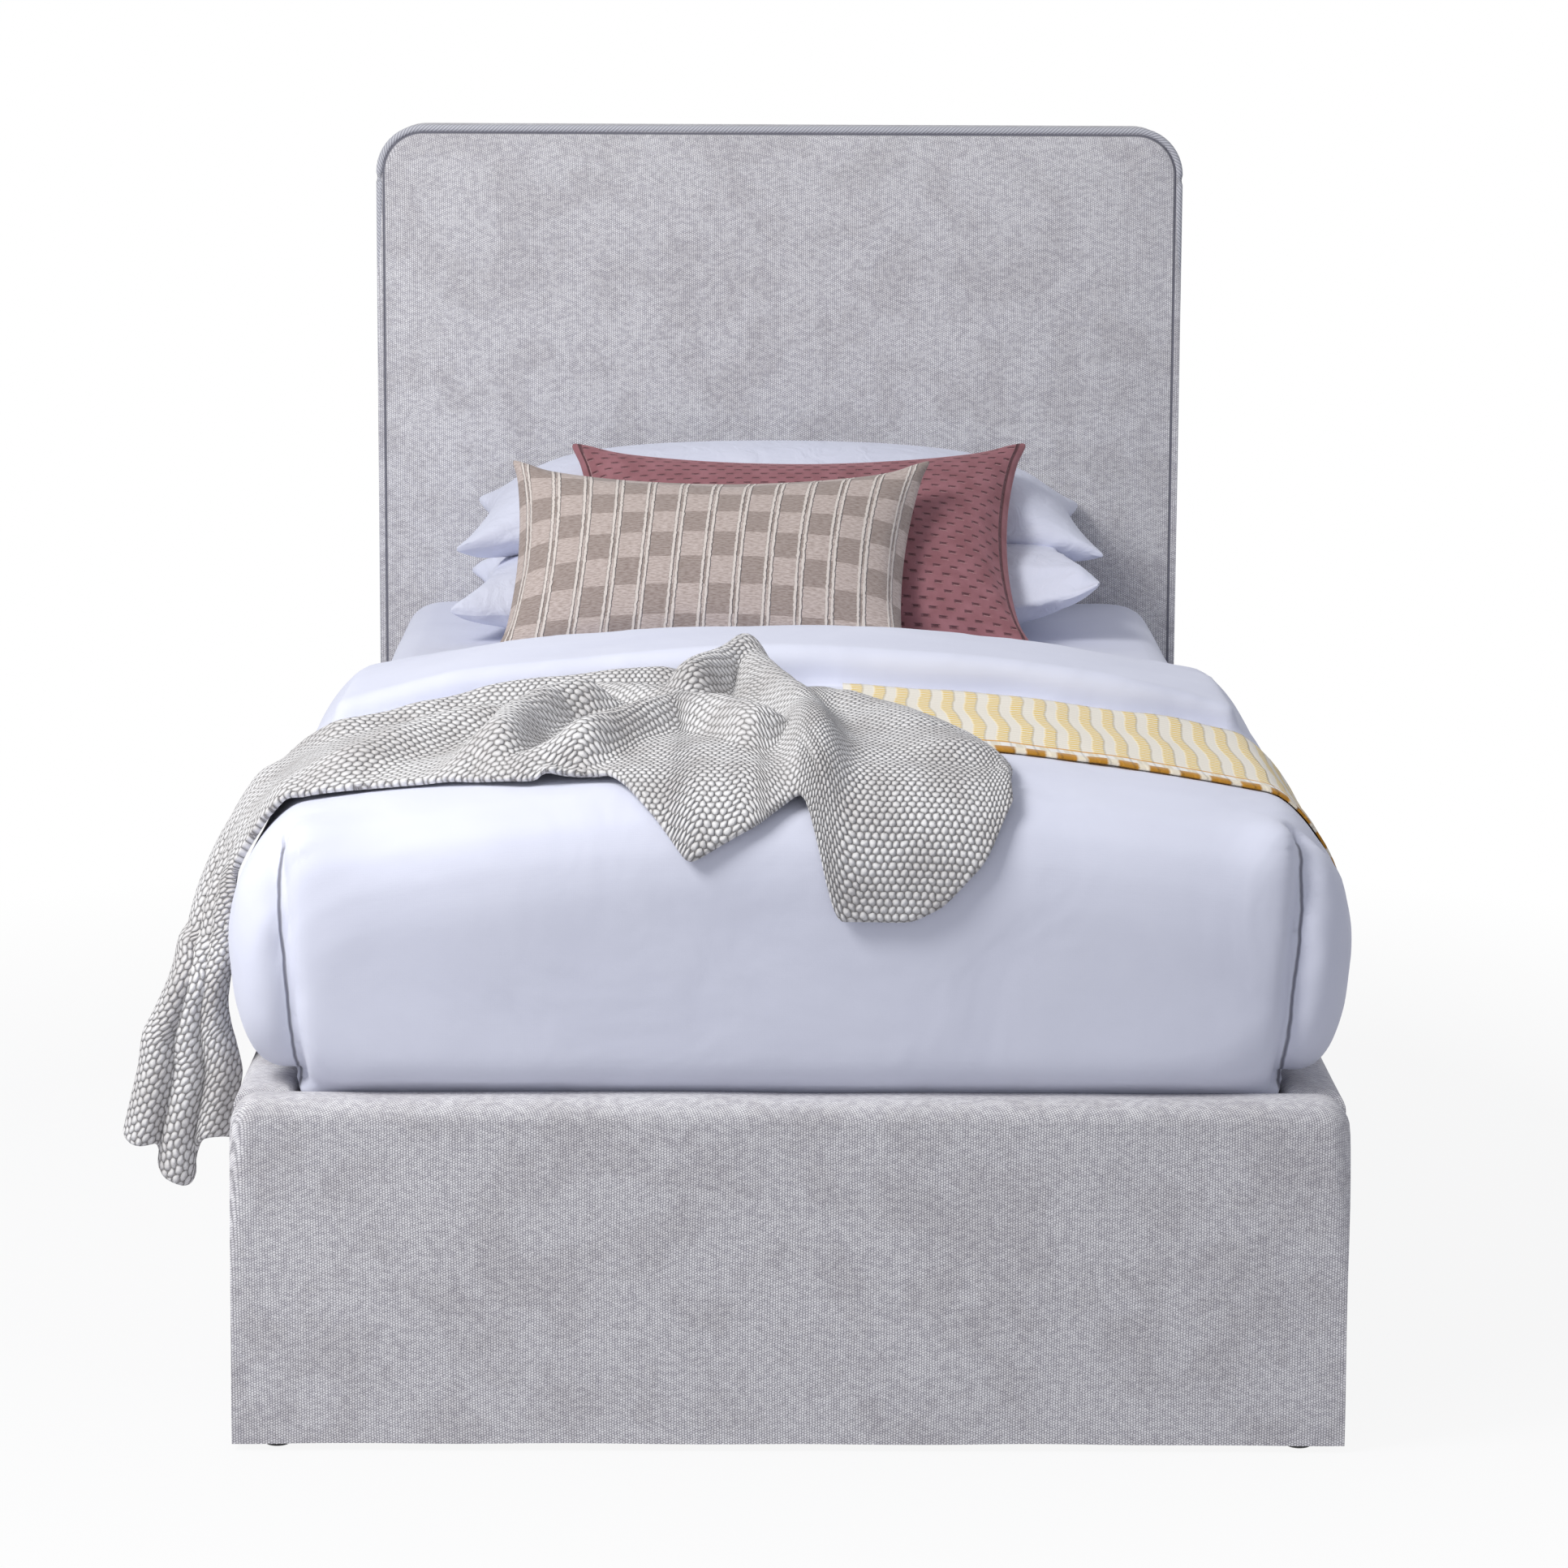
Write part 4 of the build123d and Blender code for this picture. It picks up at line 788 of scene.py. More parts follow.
leaning_corners = ((-0.395, -0.145), (0.395, -0.145)), ((-0.38, 0.145), (0.38, 0.145))
pillow = cushion(
    "pillow_leaning", "creased_cotton", leaning_corners, (0.40, 0.15), (0.012, 0.010, 0.010), 0.072, 0.030,
    ("pillow_upper",), droop=(0.026, 0.030), full=0.3, crease=0.012,
)
settle(pillow, (middle_of("pillow_upper").x, 0.778, sheet_top + 0.1344), 6, 1.5, 0.012, 0.05)
print("pillows ready")

# %% [markdown]
# ## Rose cushion
# Its cover is dusty rose cotton velvet, quilted in rows of short stitches, with a narrow flat rim at its
# ends. The stitches and the rim's seam are drawn dark, as painted shade in their dimples. The stitches are
# drawn by how far a point is from the middle of its cell, in rows that are each half a step on, and they
# follow the cloth's own map, so they bend with the cushion.

# %% Rose cushion
rose_place = Vector((middle_of("cushion_rose").x, 0.568, sheet_top + 0.1163))
rose_tilt = 36
rose_half, rose_rim = 0.295, 0.011


def rose_velvet():
    """Dusty rose quilted velvet: sunk stitches 7 mm long in rows 13 mm apart, puffed between them, with
    painted shade in the stitches and along the rim's seam.
    """
    made, tree, shader = start_finish("cotton_velvet_quilted", 0.85, Sheen_Weight=0.5, Sheen_Roughness=0.35)
    shader.inputs["Sheen Tint"].default_value = colour("#E6B4B8")
    spot = add(tree, "UVMap", uv_map="map")[0]
    axes = add(tree, "SeparateXYZ", {0: spot})
    sizes = []
    stitch_shares = (0.14, 0.09)
    for offset, share in zip(cell_offsets(tree, axes["X"], axes["Y"], 0.0230, 0.0130), stitch_shares):
        size = add(tree, "Math", {0: offset}, operation="ABSOLUTE")[0]
        sizes.append(add(tree, "Math", {0: size, 1: share}, operation="DIVIDE")[0])
    reach = add(tree, "Math", {0: sizes[0], 1: sizes[1]}, operation="MAXIMUM")[0]
    ends = {"Value": reach, "From Min": 0.8, "From Max": 1.25, "To Min": 1.0, "To Max": 0.0}
    sunk_shade = add(tree, "MapRange", ends)["Result"]
    swell = {"Value": reach, "From Min": 0.8, "From Max": 2.1}
    puff = add(tree, "MapRange", swell, interpolation_type="SMOOTHSTEP")["Result"]
    end, rim_at = add(tree, "Math", {0: axes["X"]}, operation="ABSOLUTE")[0], rose_half - rose_rim
    rim = {"Value": end, "From Min": rim_at - 0.0008, "From Max": rim_at + 0.0008}
    rim = add(tree, "MapRange", rim)["Result"]
    seam = line_at(tree, end, rim_at, 0.0006, 0.0026)
    nap = add(tree, "TexNoise", {"Vector": spot, "Scale": 34.0, "Detail": 4.0})["Fac"]
    sunk_shade = add(tree, "MixRGB", {"Fac": rim, "Color1": sunk_shade, "Color2": (0, 0, 0, 1)})["Color"]
    sunk_shade = add(tree, "Math", {0: sunk_shade, 1: seam}, operation="MAXIMUM")[0]
    # painted shade: the sunk stitches and the rim's seam are drawn dark rose for the shade in them
    base = worn(tree, shades(tree, sunk_shade, "#9F6C73", "#623A42"), nap, "#E4DCDC", 0.35, 0.65)
    puff = add(tree, "Math", {0: puff, 1: rim}, operation="MAXIMUM")[0]
    height = add(tree, "Math", {0: seam, 1: -1.5, 2: puff}, operation="MULTIPLY_ADD")[0]
    paint(tree, shader, base, height, 0.0034, 1.0)
    return made


finishes["rose_cloth"] = rose_velvet()
rose_corners = ((-0.284, -0.190), (0.284, -0.190)), ((-0.288, 0.186), (0.292, 0.190))
rose = cushion(
    "rose_cushion", "rose_cloth", rose_corners, (rose_half, 0.1925), (0.024, 0.020, 0.034), 0.048, 0.026,
    ("cushion_rose",),
)
settle(rose, rose_place, rose_tilt, 1.2, 0.008, 0.02)
print("rose cushion at", tuple(round(c, 3) for c in rose_place))

# %% [markdown]
# ## Check cushion
# The front cushion is woven in beige and taupe checks, with pairs of raised cords running up it. Checks
# and cords follow the cloth's own map, so they lean and bend with the cushion as it is pulled in.

# %% Check cushion
check_place = Vector((middle_of("cushion_check").x, 0.440, sheet_top + 0.1112))
check_tilt, check_pitch = 48, 0.0385


def check_weave():
    """Beige and taupe checked cotton, with corded ribs in pairs that carry a painted highlight, and a slubby
    thread.
    """
    made, tree, shader = start_finish("cotton_check_woven", 0.9, Sheen_Weight=0.15)
    spot = add(tree, "UVMap", uv_map="map")[0]
    cells = add(tree, "Mapping", {"Vector": spot, "Scale": (1 / check_pitch, 1 / 0.0365, 1)})[0]
    axes = add(tree, "SeparateXYZ", {0: cells})
    cell = add(tree, "CombineXYZ", {"X": axes["X"], "Y": axes["Y"], "Z": 0.5})[0]
    checks = add(tree, "TexChecker", {"Vector": cell, "Scale": 1.0})["Fac"]
    threads = add(tree, "Mapping", {"Vector": spot, "Scale": (0.35, 1.6, 1)})[0]
    slub = add(tree, "TexNoise", {"Vector": threads, "Scale": 420.0, "Detail": 2.0})["Fac"]
    base = worn(tree, shades(tree, checks, "#CDBFB8", "#AC9E97"), slub, "#DAD5D2", 0.35, 0.6)
    wander = add(tree, "TexNoise", {"Vector": spot, "Scale": 190.0, "Detail": 2.0})["Fac"]
    wander = add(tree, "Math", {0: wander, 1: 0.09, 2: axes["X"]}, operation="MULTIPLY_ADD")[0]
    part = add(tree, "Math", {0: wander}, operation="FRACT")[0]
    from_seam = add(tree, "Math", {0: part, 1: 0.5}, operation="SUBTRACT")[0]
    from_seam = add(tree, "Math", {0: from_seam}, operation="ABSOLUTE")[0]
    rib = line_at(tree, from_seam, 0.41, 0.030, 0.072, interpolation_type="SMOOTHSTEP")
    # painted highlight: the raised cords are drawn lighter, for the light that catches their tops
    cord = add(tree, "MixRGB", {"Fac": rib, "Color1": base, "Color2": colour("#E2D8D0")})["Color"]
    height = add(tree, "Math", {0: slub, 1: 0.25, 2: rib}, operation="MULTIPLY_ADD")[0]
    paint(tree, shader, cord, height, 0.0022, 1.0)
    return made


finishes["check_cloth"] = check_weave()
check_corners = ((-0.270, -0.144), (0.228, -0.144)), ((-0.256, 0.151), (0.262, 0.151))
check = cushion(
    "check_cushion", "check_cloth", check_corners, (0.250, 0.146), (0.014, 0.012, 0.028), 0.052, 0.030,
    ("cushion_check",), cell=0.010,
)
settle(check, check_place, check_tilt, 1.2, 0.008, 0.02)
print("check cushion at", tuple(round(c, 3) for c in check_place))

# %% [markdown]
# ## Duvet
# The duvet is a thick filled cover tucked in round the mattress, with its head end folded back. The
# solid model has that form in flat and round facets. A voxel remesh turns a copy of it into an even skin,
# smoothing melts the facets together, and slow noise gives the unevenness of the filling.

# %% Duvet
def reskinned(name, node, voxel, smoothing):
    """A bmesh with an even skin over a copy of a solid node, smoothed a number of times."""
    source = nodes[node].data.copy()
    bm = bmesh.new()
    bm.from_mesh(source)
    bmesh.ops.remove_doubles(bm, verts=bm.verts[:], dist=1e-5)
    bm.to_mesh(source)
    bm.free()
    copy = bpy.data.objects.new(name, source)
    scene.collection.objects.link(copy)
    skin = copy.modifiers.new("Remesh", "REMESH")
    skin.mode = "VOXEL"
    skin.voxel_size = voxel
    shown = copy.evaluated_get(bpy.context.evaluated_depsgraph_get())
    bm = bmesh.new()
    bm.from_mesh(shown.to_mesh())
    bpy.data.objects.remove(copy)
    for _ in range(smoothing):
        bmesh.ops.smooth_vert(
            bm, verts=bm.verts[:], factor=0.5, use_axis_x=True, use_axis_y=True, use_axis_z=True,
        )
    return bm


fold_y = -0.4054
bm = reskinned("duvet_skin", "duvet", 0.0075, 8)


def filling(place):
    """Unevenness of the duvet's filling, on its outer side only."""
    outside = place.z > 0.56 or abs(place.x) > 0.466 or place.y < -0.968
    if not outside or place.z < 0.345:
        return 0.0
    return 0.0035 * cloudy(place, 0.28, 1.5) + 0.0015 * cloudy(place, 0.10, 2.5)


def sewn_corner(place):
    """Valley where the foot and the side of the duvet are sewn together."""
    if place.y > -0.90 or place.z < 0.34:
        return 0.0
    side = abs(place.x)
    box = 0.016 * hump(side, 0.47, 0.045) * hump(place.z, 0.575, 0.045) * hump(place.y, -0.97, 0.05)
    if place.z > 0.60:
        return box
    course = 0.460 + 0.015 * min(1, max(0, (place.z - 0.34) / 0.18)) + 0.002 * cloudy(place, 0.03, 8.0)
    pull = 0.013 * hump(side, course, 0.010)
    swell = 0.008 * hump(side, course + 0.032, 0.020)
    fade = min(1, (0.60 - place.z) / 0.02) * min(1, (-0.90 - place.y) / 0.02)
    return box + fade * (swell - pull)


def fold_edge(place):
    """Front edge of the folded head end: a groove before it and a swell behind it, top and sides."""
    if place.z < 0.36 or abs(place.x) < 0.44 and place.z < 0.56:
        return 0.0
    behind = place.y - fold_y + 0.005 * cloudy(Vector((place.x, place.z, 0)), 0.11, 4.0)
    swell = 0.009 - 0.008 * min(1, max(0, (abs(place.x) - 0.34) / 0.10))
    return swell * hump(behind, 0.026, 0.022) - 0.012 * hump(behind, -0.004, 0.009)


push(bm, filling)
push(bm, sewn_corner)
push(bm, fold_edge)
duvet = become("duvet_body", bm, "duvet_cotton", stands_for=("duvet",), sharp=180)
print("duvet skin has", len(duvet.data.vertices), "vertices")

# %% [markdown]
# ## Looking for the surface
# A throw lies on the duvet, so its points are found by shooting a ray from outside and stopping at the
# first thing it meets. A BVH tree makes that search quick.

# %% Rays onto the duvet
def tree_of(pieces):
    """One search tree over the meshes of some pieces."""
    places, faces, start = [], [], 0
    for piece in pieces:
        places += [vert.co.copy() for vert in piece.data.vertices]
        faces += [[index + start for index in face.vertices] for face in piece.data.polygons]
        start = len(places)
    return BVHTree.FromPolygons(places, faces)


bedding = tree_of([duvet])


def drop_on(tree, x, y, missing=0.6):
    """Height of the surface straight under a place."""
    hit = tree.ray_cast(Vector((x, y, 1.2)), Vector((0, 0, -1)))[0]
    return hit.z if hit else missing


print("duvet crown at", round(drop_on(bedding, 0, -0.6), 4), "m")

# %% [markdown]
# ## Woven throw
# A thin pale yellow throw lies across the right side of the bed and hangs down beside it. A sheet is
# built as a grid with a map in metres, and each of its rows follows the section of the duvet under it.

# %% Woven throw
def section_at(tree, y, x_start, side, z_end, out):
    """Line over the duvet's section at y, from x_start across its crown and down one side to z_end."""
    centre = Vector((0, y, 0.40))
    line = []
    for step in range(241):
        angle = math.pi / 2 * step / 240
        heading = Vector((side * math.sin(angle), 0, math.cos(angle)))
        hit = tree.ray_cast(centre + heading * 1.5, -heading)
        if hit[0] is None:
            continue
        spot = hit[0] + hit[1] * out
        if side * spot.x >= side * x_start and spot.z >= z_end:
            line.append(spot)
    return line


def even_line(line, count):
    """The same line with its points evenly spaced along it, and its length."""
    runs = [0.0]
    for first, second in zip(line, line[1:]):
        runs.append(runs[-1] + (second - first).length)
    spots = np.linspace(0, runs[-1], count)
    axes = [np.interp(spots, runs, [p[axis] for p in line]) for axis in range(3)]
    return [Vector(p) for p in zip(*axes)], runs[-1]


def yellow_cloth():
    """Pale yellow cotton woven in wavy stripes, hatched with white threads, with an ochre edge."""
    made, tree, shader = start_finish("cotton_jacquard_woven", 0.9, Sheen_Weight=0.2)
    spot = add(tree, "UVMap", uv_map="map")[0]
    axes = wobbled(tree, spot, 45.0, 0.0012)

    def within(value, pitch, half, soft):
        """1 inside bands of a half width, in shares of a pitch, and 0 between them."""
        count = add(tree, "Math", {0: value, 1: pitch}, operation="DIVIDE")[0]
        part = add(tree, "Math", {0: count}, operation="FRACT")[0]
        return line_at(tree, part, 0.5, half - soft, half + soft)

    sway = add(tree, "Math", {0: axes["Y"], 1: 2 * math.pi / 0.19}, operation="MULTIPLY")[0]
    sway = add(tree, "Math", {0: sway}, operation="SINE")[0]
    across = add(tree, "Math", {0: sway, 1: 0.0026, 2: axes["X"]}, operation="MULTIPLY_ADD")[0]
    stripe = within(across, 0.0235, 0.25, 0.05)
    hatch = within(axes["Y"], 0.0110, 0.16, 0.04)
    base = shades(tree, stripe, "#F0E9DA", "#EDCB66")
    base = add(tree, "MixRGB", {"Fac": hatch, "Color1": base, "Color2": colour("#F8F3E4")})["Color"]
    tuft = within(axes["X"], 0.0300, 0.17, 0.04)
    edge = shades(tree, tuft, "#BC8420", "#F0E6D0")
    blocks = within(across, 0.0240, 0.30, 0.03)
    band = shades(tree, blocks, "#E4DCC8", "#F6F3EC")
    for start, inner in ((0.020, band), (0.038, colour("#D89C3A")), (0.044, base)):
        step = {"Value": axes["Y"], "From Min": start - 0.0008, "From Max": start + 0.0008}
        share = add(tree, "MapRange", step)["Result"]
        edge = add(tree, "MixRGB", {"Fac": share, "Color1": edge, "Color2": inner})["Color"]
    thread = add(tree, "TexNoise", {"Vector": spot, "Scale": 700.0, "Detail": 1.0})["Fac"]
    height = add(tree, "Math", {0: thread, 1: 0.3, 2: stripe}, operation="MULTIPLY_ADD")[0]
    paint(tree, shader, edge, height, 0.0012, 0.8)
    return made


finishes["yellow_weave"] = yellow_cloth()


def outer_face(spots, thick):
    """Places thick above a grid of places, where the outer face of a cloth lies."""
    normals = np.cross(np.gradient(spots, axis=0), np.gradient(spots, axis=1))
    normals /= np.maximum(np.linalg.norm(normals, axis=2, keepdims=True), 1e-12)
    return spots + thick * normals * np.sign(normals[..., 2].sum())


def laid_sheet(name, finish, columns, rows, place, thick, stands_for, from_far=False):
    """A grid of columns by rows whose points go where place(u, v) says, with its map in metres.

    place also says where each column's map starts. Lengths on the map are those on the outer face.
    """
    grid = [[place(i / columns, j / rows) for j in range(rows + 1)] for i in range(columns + 1)]
    spots = np.array([[tuple(spot) for spot, _ in column] for column in grid])
    starts = np.array([column[0][1] for column in grid])
    outer = outer_face(spots, thick)
    up = np.linalg.norm(np.diff(outer, axis=1), axis=2)
    up = np.concatenate([np.zeros((columns + 1, 1)), np.cumsum(up, axis=1)], axis=1)
    if from_far:
        up = up[:, -1:] - up
    up += starts[:, None]
    along = np.linalg.norm(np.diff(outer, axis=0), axis=2).mean(axis=1)
    along = np.concatenate([[0], np.cumsum(along)])
    bm = bmesh.new()
    uv = bm.loops.layers.uv.new("map")
    bmesh.ops.create_grid(bm, x_segments=columns, y_segments=rows, size=0.5, calc_uvs=True)
    cells = {vert: (round((vert.co.x + 0.5) * columns), round((vert.co.y + 0.5) * rows)) for vert in bm.verts}
    for sheet_face in bm.faces:
        for loop in sheet_face.loops:
            i, j = cells[loop.vert]
            loop[uv].uv = (along[i], up[i, j])
    for vert, (i, j) in cells.items():
        vert.co = spots[i, j]
    bm.normal_update()
    if sum(sheet_face.normal.z for sheet_face in bm.faces) < 0:
        bmesh.ops.reverse_faces(bm, faces=bm.faces[:])
    piece = become(name, bm, finish, stands_for=stands_for, sharp=180)
    wall = piece.modifiers.new("Solidify", "SOLIDIFY")
    wall.thickness = thick
    wall.offset = 1
    wide = float(np.abs(up[:, -1] - up[:, 0]).mean())
    print(name, "is", round(along[-1], 3), "m by", round(wide, 3), "m on its outer face, folds and all")
    return piece


yellow_near, yellow_far = -0.785, -0.425
yellow_rows = 24
yellow_lines = []
for index in range(yellow_rows + 1):
    y = yellow_near + (yellow_far - yellow_near) * index / yellow_rows
    line, yellow_length = even_line(section_at(bedding, y, 0.056, 1, 0.45, 0.0015), 61)
    yellow_lines.append(line)


def yellow_place(u, v):
    """Where a point of the yellow throw lies, and its place on the cloth."""
    spot = yellow_lines[round(v * yellow_rows)][round(u * 60)].copy()
    ripple = 0.0025 * max(0, cloudy(spot, 0.07, 6.0))
    spot += Vector((0.35 * ripple, 0, ripple))
    return spot, 0.0


yellow = laid_sheet("yellow_throw", "yellow_weave", 60, yellow_rows, yellow_place, 0.0025, ("throw_yellow",))
print("yellow throw", round(yellow_length, 3), "m across the bed")

# %% [markdown]
# ## Knitted throw
# The knitted throw is moss stitch in thick warm grey wool: round bobbles about a centimetre apart, each
# row half a step on from the last. It is dragged over the left side in loose folds and hangs beside the
# bed, and its right end falls over the foot of the duvet in two tails.

# %% Knitted throw
def knitted():
    """Moss stitch in light warm grey wool: bobbles 10 mm wide in rows 7 mm apart, with painted shade in the
    gaps between them.
    """
    made, tree, shader = start_finish("wool_moss_stitch_knitted", 0.95, Sheen_Weight=0.3, Sheen_Roughness=0.6)
    spot = add(tree, "UVMap", uv_map="map")[0]
    axes = wobbled(tree, spot, 90.0, 0.0021)
    offsets = cell_offsets(tree, axes["X"], axes["Y"], 0.0098, 0.0068)
    offsets[0] = add(tree, "Math", {0: offsets[0], 1: 1.15}, operation="MULTIPLY")[0]
    gap = roundness(tree, offsets, 0.62)
    wool = add(tree, "TexNoise", {"Vector": spot, "Scale": 520.0, "Detail": 3.0})["Fac"]
    tone = add(tree, "TexNoise", {"Vector": spot, "Scale": 14.0, "Detail": 2.0})["Fac"]
    # painted shade: each bobble is drawn dark grey towards the gaps round it, for the shade there
    base = shades(tree, gap, "#F0EFEF", "#8F8B8A", 0.52, 1.05)
    base = worn(tree, base, tone, "#E6E4E3", 0.35, 0.6)
    round_top = add(tree, "Math", {0: 1.0, 1: gap}, operation="SUBTRACT")[0]
    round_top = add(tree, "Math", {0: round_top, 1: 0.6}, operation="POWER")[0]
    height = add(tree, "Math", {0: wool, 1: 0.12, 2: round_top}, operation="MULTIPLY_ADD")[0]
    paint(tree, shader, base, height, 0.0045, 1.0)
    return made


finishes["knit_wool"] = knitted()
knit_bed = tree_of([duvet, yellow])

# edges of the throw on top of the bed: x, far edge y, and how far it runs on past the foot's rounding
knit_edges = [
    (-0.47, -0.50, 0.00), (-0.40, -0.49, 0.00), (-0.31, -0.44, 0.00), (-0.23, -0.405, 0.00),
    (-0.17, -0.40, 0.01), (-0.14, -0.40, 0.06), (-0.095, -0.40, 0.125), (-0.03, -0.39, 0.09),
    (0.012, -0.47, 0.055), (0.022, -0.51, 0.10), (0.04, -0.54, 0.178), (0.10, -0.63, 0.182),
    (0.14, -0.70, 0.16), (0.18, -0.78, 0.115), (0.205, -0.90, 0.05),
]
edge_x = [row[0] for row in knit_edges]
near_rest = -0.915
near_edge = ((-0.47, -0.40, -0.32, -0.25), (-0.845, -0.855, -0.885, near_rest))

# folds of the throw: how high, how wide on their near and far sides, and the line each follows
knit_folds = [
    (0.026, 0.030, 0.045, [(-0.475, -0.90), (-0.41, -0.78), (-0.35, -0.70), (-0.305, -0.66)]),
    (0.022, 0.014, 0.020, [(-0.325, -0.90), (-0.30, -0.845), (-0.262, -0.90)]),
    (0.040, 0.018, 0.030, [(-0.277, -0.86), (-0.262, -0.74), (-0.235, -0.65), (-0.205, -0.63)]),
    (0.036, 0.016, 0.030, [
        (-0.255, -0.91), (-0.20, -0.88), (-0.155, -0.80), (-0.11, -0.74), (-0.07, -0.77), (-0.028, -0.85),
    ]),
    (0.046, 0.020, 0.018, [(-0.100, -0.60), (-0.072, -0.52), (-0.042, -0.455)]),
    (0.036, 0.022, 0.022, [(-0.042, -0.455), (-0.013, -0.62), (0.016, -0.76), (0.024, -0.93)]),
    (0.016, 0.020, 0.030, [(-0.45, -0.54), (-0.33, -0.47), (-0.13, -0.44)]),
    (0.012, 0.040, 0.040, [(0.03, -0.58), (0.10, -0.70), (0.155, -0.86)]),
    (0.018, 0.016, 0.024, [(-0.19, -0.53), (-0.15, -0.58), (-0.09, -0.66)]),
]


def knit_ridges(x, y):
    """Height of the throw's folds over the duvet at a place on top of the bed."""
    total = 0.0
    spot = Vector((x, y))
    for rise, near_wide, far_wide, line in knit_folds:
        best = None
        for first, second in zip(line, line[1:]):
            a, b = Vector(first), Vector(second)
            share = min(1, max(0, (spot - a).dot(b - a) / (b - a).length_squared))
            gap = spot - a - (b - a) * share
            if best is None or gap.length < best.length:
                best = gap
        wide = near_wide if best.y < 0 else far_wide
        total += (rise * hump(best.length, 0, wide)) ** 3
    return total ** (1 / 3) + 0.003 * (1 + cloudy(Vector((x, y, 0)), 0.05, 9.0))


def foot_path(x, run):
    """Point on the duvet below the throw's near part, run metres on from near_rest."""
    centre = Vector((x, -0.90, 0.50))
    spots = []
    for step in range(40):
        angle = math.pi / 2 * step / 39
        aim = Vector((0, -math.sin(angle), math.cos(angle)))
        hit = knit_bed.ray_cast(centre + aim * 0.8, -aim)
        if hit[0] is not None:
            spots.append(hit[0] + hit[1] * 0.002)
    line = [spot for spot in spots if spot.y <= near_rest + 0.002] or spots[-1:]
    gone = 0.0
    for first, second in zip(line, line[1:]):
        part = (second - first).length
        if gone + part >= run:
            return first.lerp(second, (run - gone) / part)
        gone += part
    return line[-1]


def knit_top(x, v):
    """A point of the throw on top of the bed: v is 0 at the near edge and 1 at the far one."""
    far = float(np.interp(x, edge_x, [row[1] for row in knit_edges]))
    over = float(np.interp(x, edge_x, [row[2] for row in knit_edges]))
    flat_run = far - float(np.interp(x, *near_edge))
    run = (flat_run + over) * (1 - v)
    if run <= flat_run:
        y = far - run
        spot = Vector((x, y, drop_on(knit_bed, x, y) + 0.002))
        hem = min(1, 0.04 + (flat_run + over - run) / 0.06)
        spot.z += knit_ridges(x, y) * min(1, 0.35 + run / 0.05) * hem
        return spot, -0.39 - far
    spot = foot_path(x, run - flat_run)
    lift = knit_ridges(x, near_rest) * hump(run, flat_run, 0.05) + 0.004
    return spot + Vector((0, -0.7, 0.7)) * lift, -0.39 - far


# the hanging part: how far it stands off the duvet down its side, then its inner and outer faces by height
stand_off = ((0, 0.05, 0.12, 0.25), (0.012, 0.030, 0.036, 0.046))
hang_z = (0.19, 0.255, 0.32, 0.35, 0.39, 0.42, 0.45)
hang_in = (-0.541, -0.540, -0.530, -0.537, -0.550, -0.553, -0.540)
hang_out = (-0.640, -0.636, -0.620, -0.616, -0.606, -0.594, -0.586)
knit_rows = 56
side_near = near_edge[1][0]
knit_width = -0.50 - side_near


def knit_plan(v):
    """How far out and how far back a hanging point is: three pleats face the foot, the rest runs back."""
    front, back = min(1, v / 0.45), max(0, (v - 0.45) / 0.55)
    groove = 1 - abs(math.sin(3 * math.pi * front))
    out = front if v < 0.45 else 0.75 + 0.25 * math.cos(3 * math.pi * back)
    return out, 0.018 * groove * (1 - back) + (knit_width - 0.10) * back


def knit_side(s, v):
    """A point of the throw beside the bed, s metres on from the left shoulder."""
    pinch = min(1, s / 0.20)
    out, back = knit_plan(v)
    y = side_near + (1 - pinch) * knit_width * v + pinch * back
    spots, runs = side_lines[round(v * knit_rows)]
    if s <= runs[-1]:
        x, z = (float(np.interp(s, runs, [p[axis] for p in spots])) for axis in (0, 2))
        off = float(np.interp(s, *stand_off)) * out
        off += (knit_ridges(-0.47, y) - off) * max(0, 1 - s / 0.05)
        off *= min(1, 0.25 + v / 0.12)
        lean = min(1, s / 0.16)
        return Vector((x - off * (0.3 + 0.7 * lean), y, z + off * 0.8 * (1 - lean)))
    z = spots[-1].z - (s - runs[-1])
    inner, outer = (float(np.interp(z, hang_z, table)) for table in (hang_in, hang_out))
    x = inner + (outer - inner) * out
    start = spots[-1].x - stand_off[1][-1] * out * min(1, 0.25 + v / 0.12)
    return Vector((x + (start - x) * max(0, 1 - (s - runs[-1]) / 0.09), y, z))


side_lines = []
for index in range(knit_rows + 1):
    y = side_near + knit_width * index / knit_rows
    shoulder = section_at(knit_bed, y, -0.47, -1, 0.445, 0.003)
    runs = [0.0]
    for first, second in zip(shoulder, shoulder[1:]):
        runs.append(runs[-1] + (second - first).length)
    side_lines.append((shoulder, runs))

knit_across, knit_down, knit_thick = 0.675, 0.43, 0.008
knit_length = knit_across + knit_down


def knit_place(u, v):
    """Where a point of the knitted throw lies, and its place on the cloth."""
    s = u * knit_length
    if s <= knit_across:
        return knit_top(0.205 - s, v)
    reach = side_lines[round(v * knit_rows)][1][-1]
    hem = 0.252 - 0.042 * math.exp(-((v - 0.225) / 0.085) ** 4) + 0.005 * math.sin(9 * math.pi * v)
    down = (s - knit_across) / knit_down * (reach + 0.445 - hem)
    return knit_side(down, v), 0.11


knit = laid_sheet(
    "knit_throw", "knit_wool", 150, knit_rows, knit_place, knit_thick, ("throw_knit",), from_far=True,
)
subdivide(knit)
print("knitted throw", round(knit_length, 3), "m long")

# %% [markdown]
# ## Timber, board and metal
# The pieces inside the bed keep the solid model's shapes and need only their finishes. Sawn softwood has
# long grain along each piece, so its noise is stretched along one axis, plywood is finer, chipboard is
# flakes pressed flat, and the brackets and bolts are zinc plated steel.

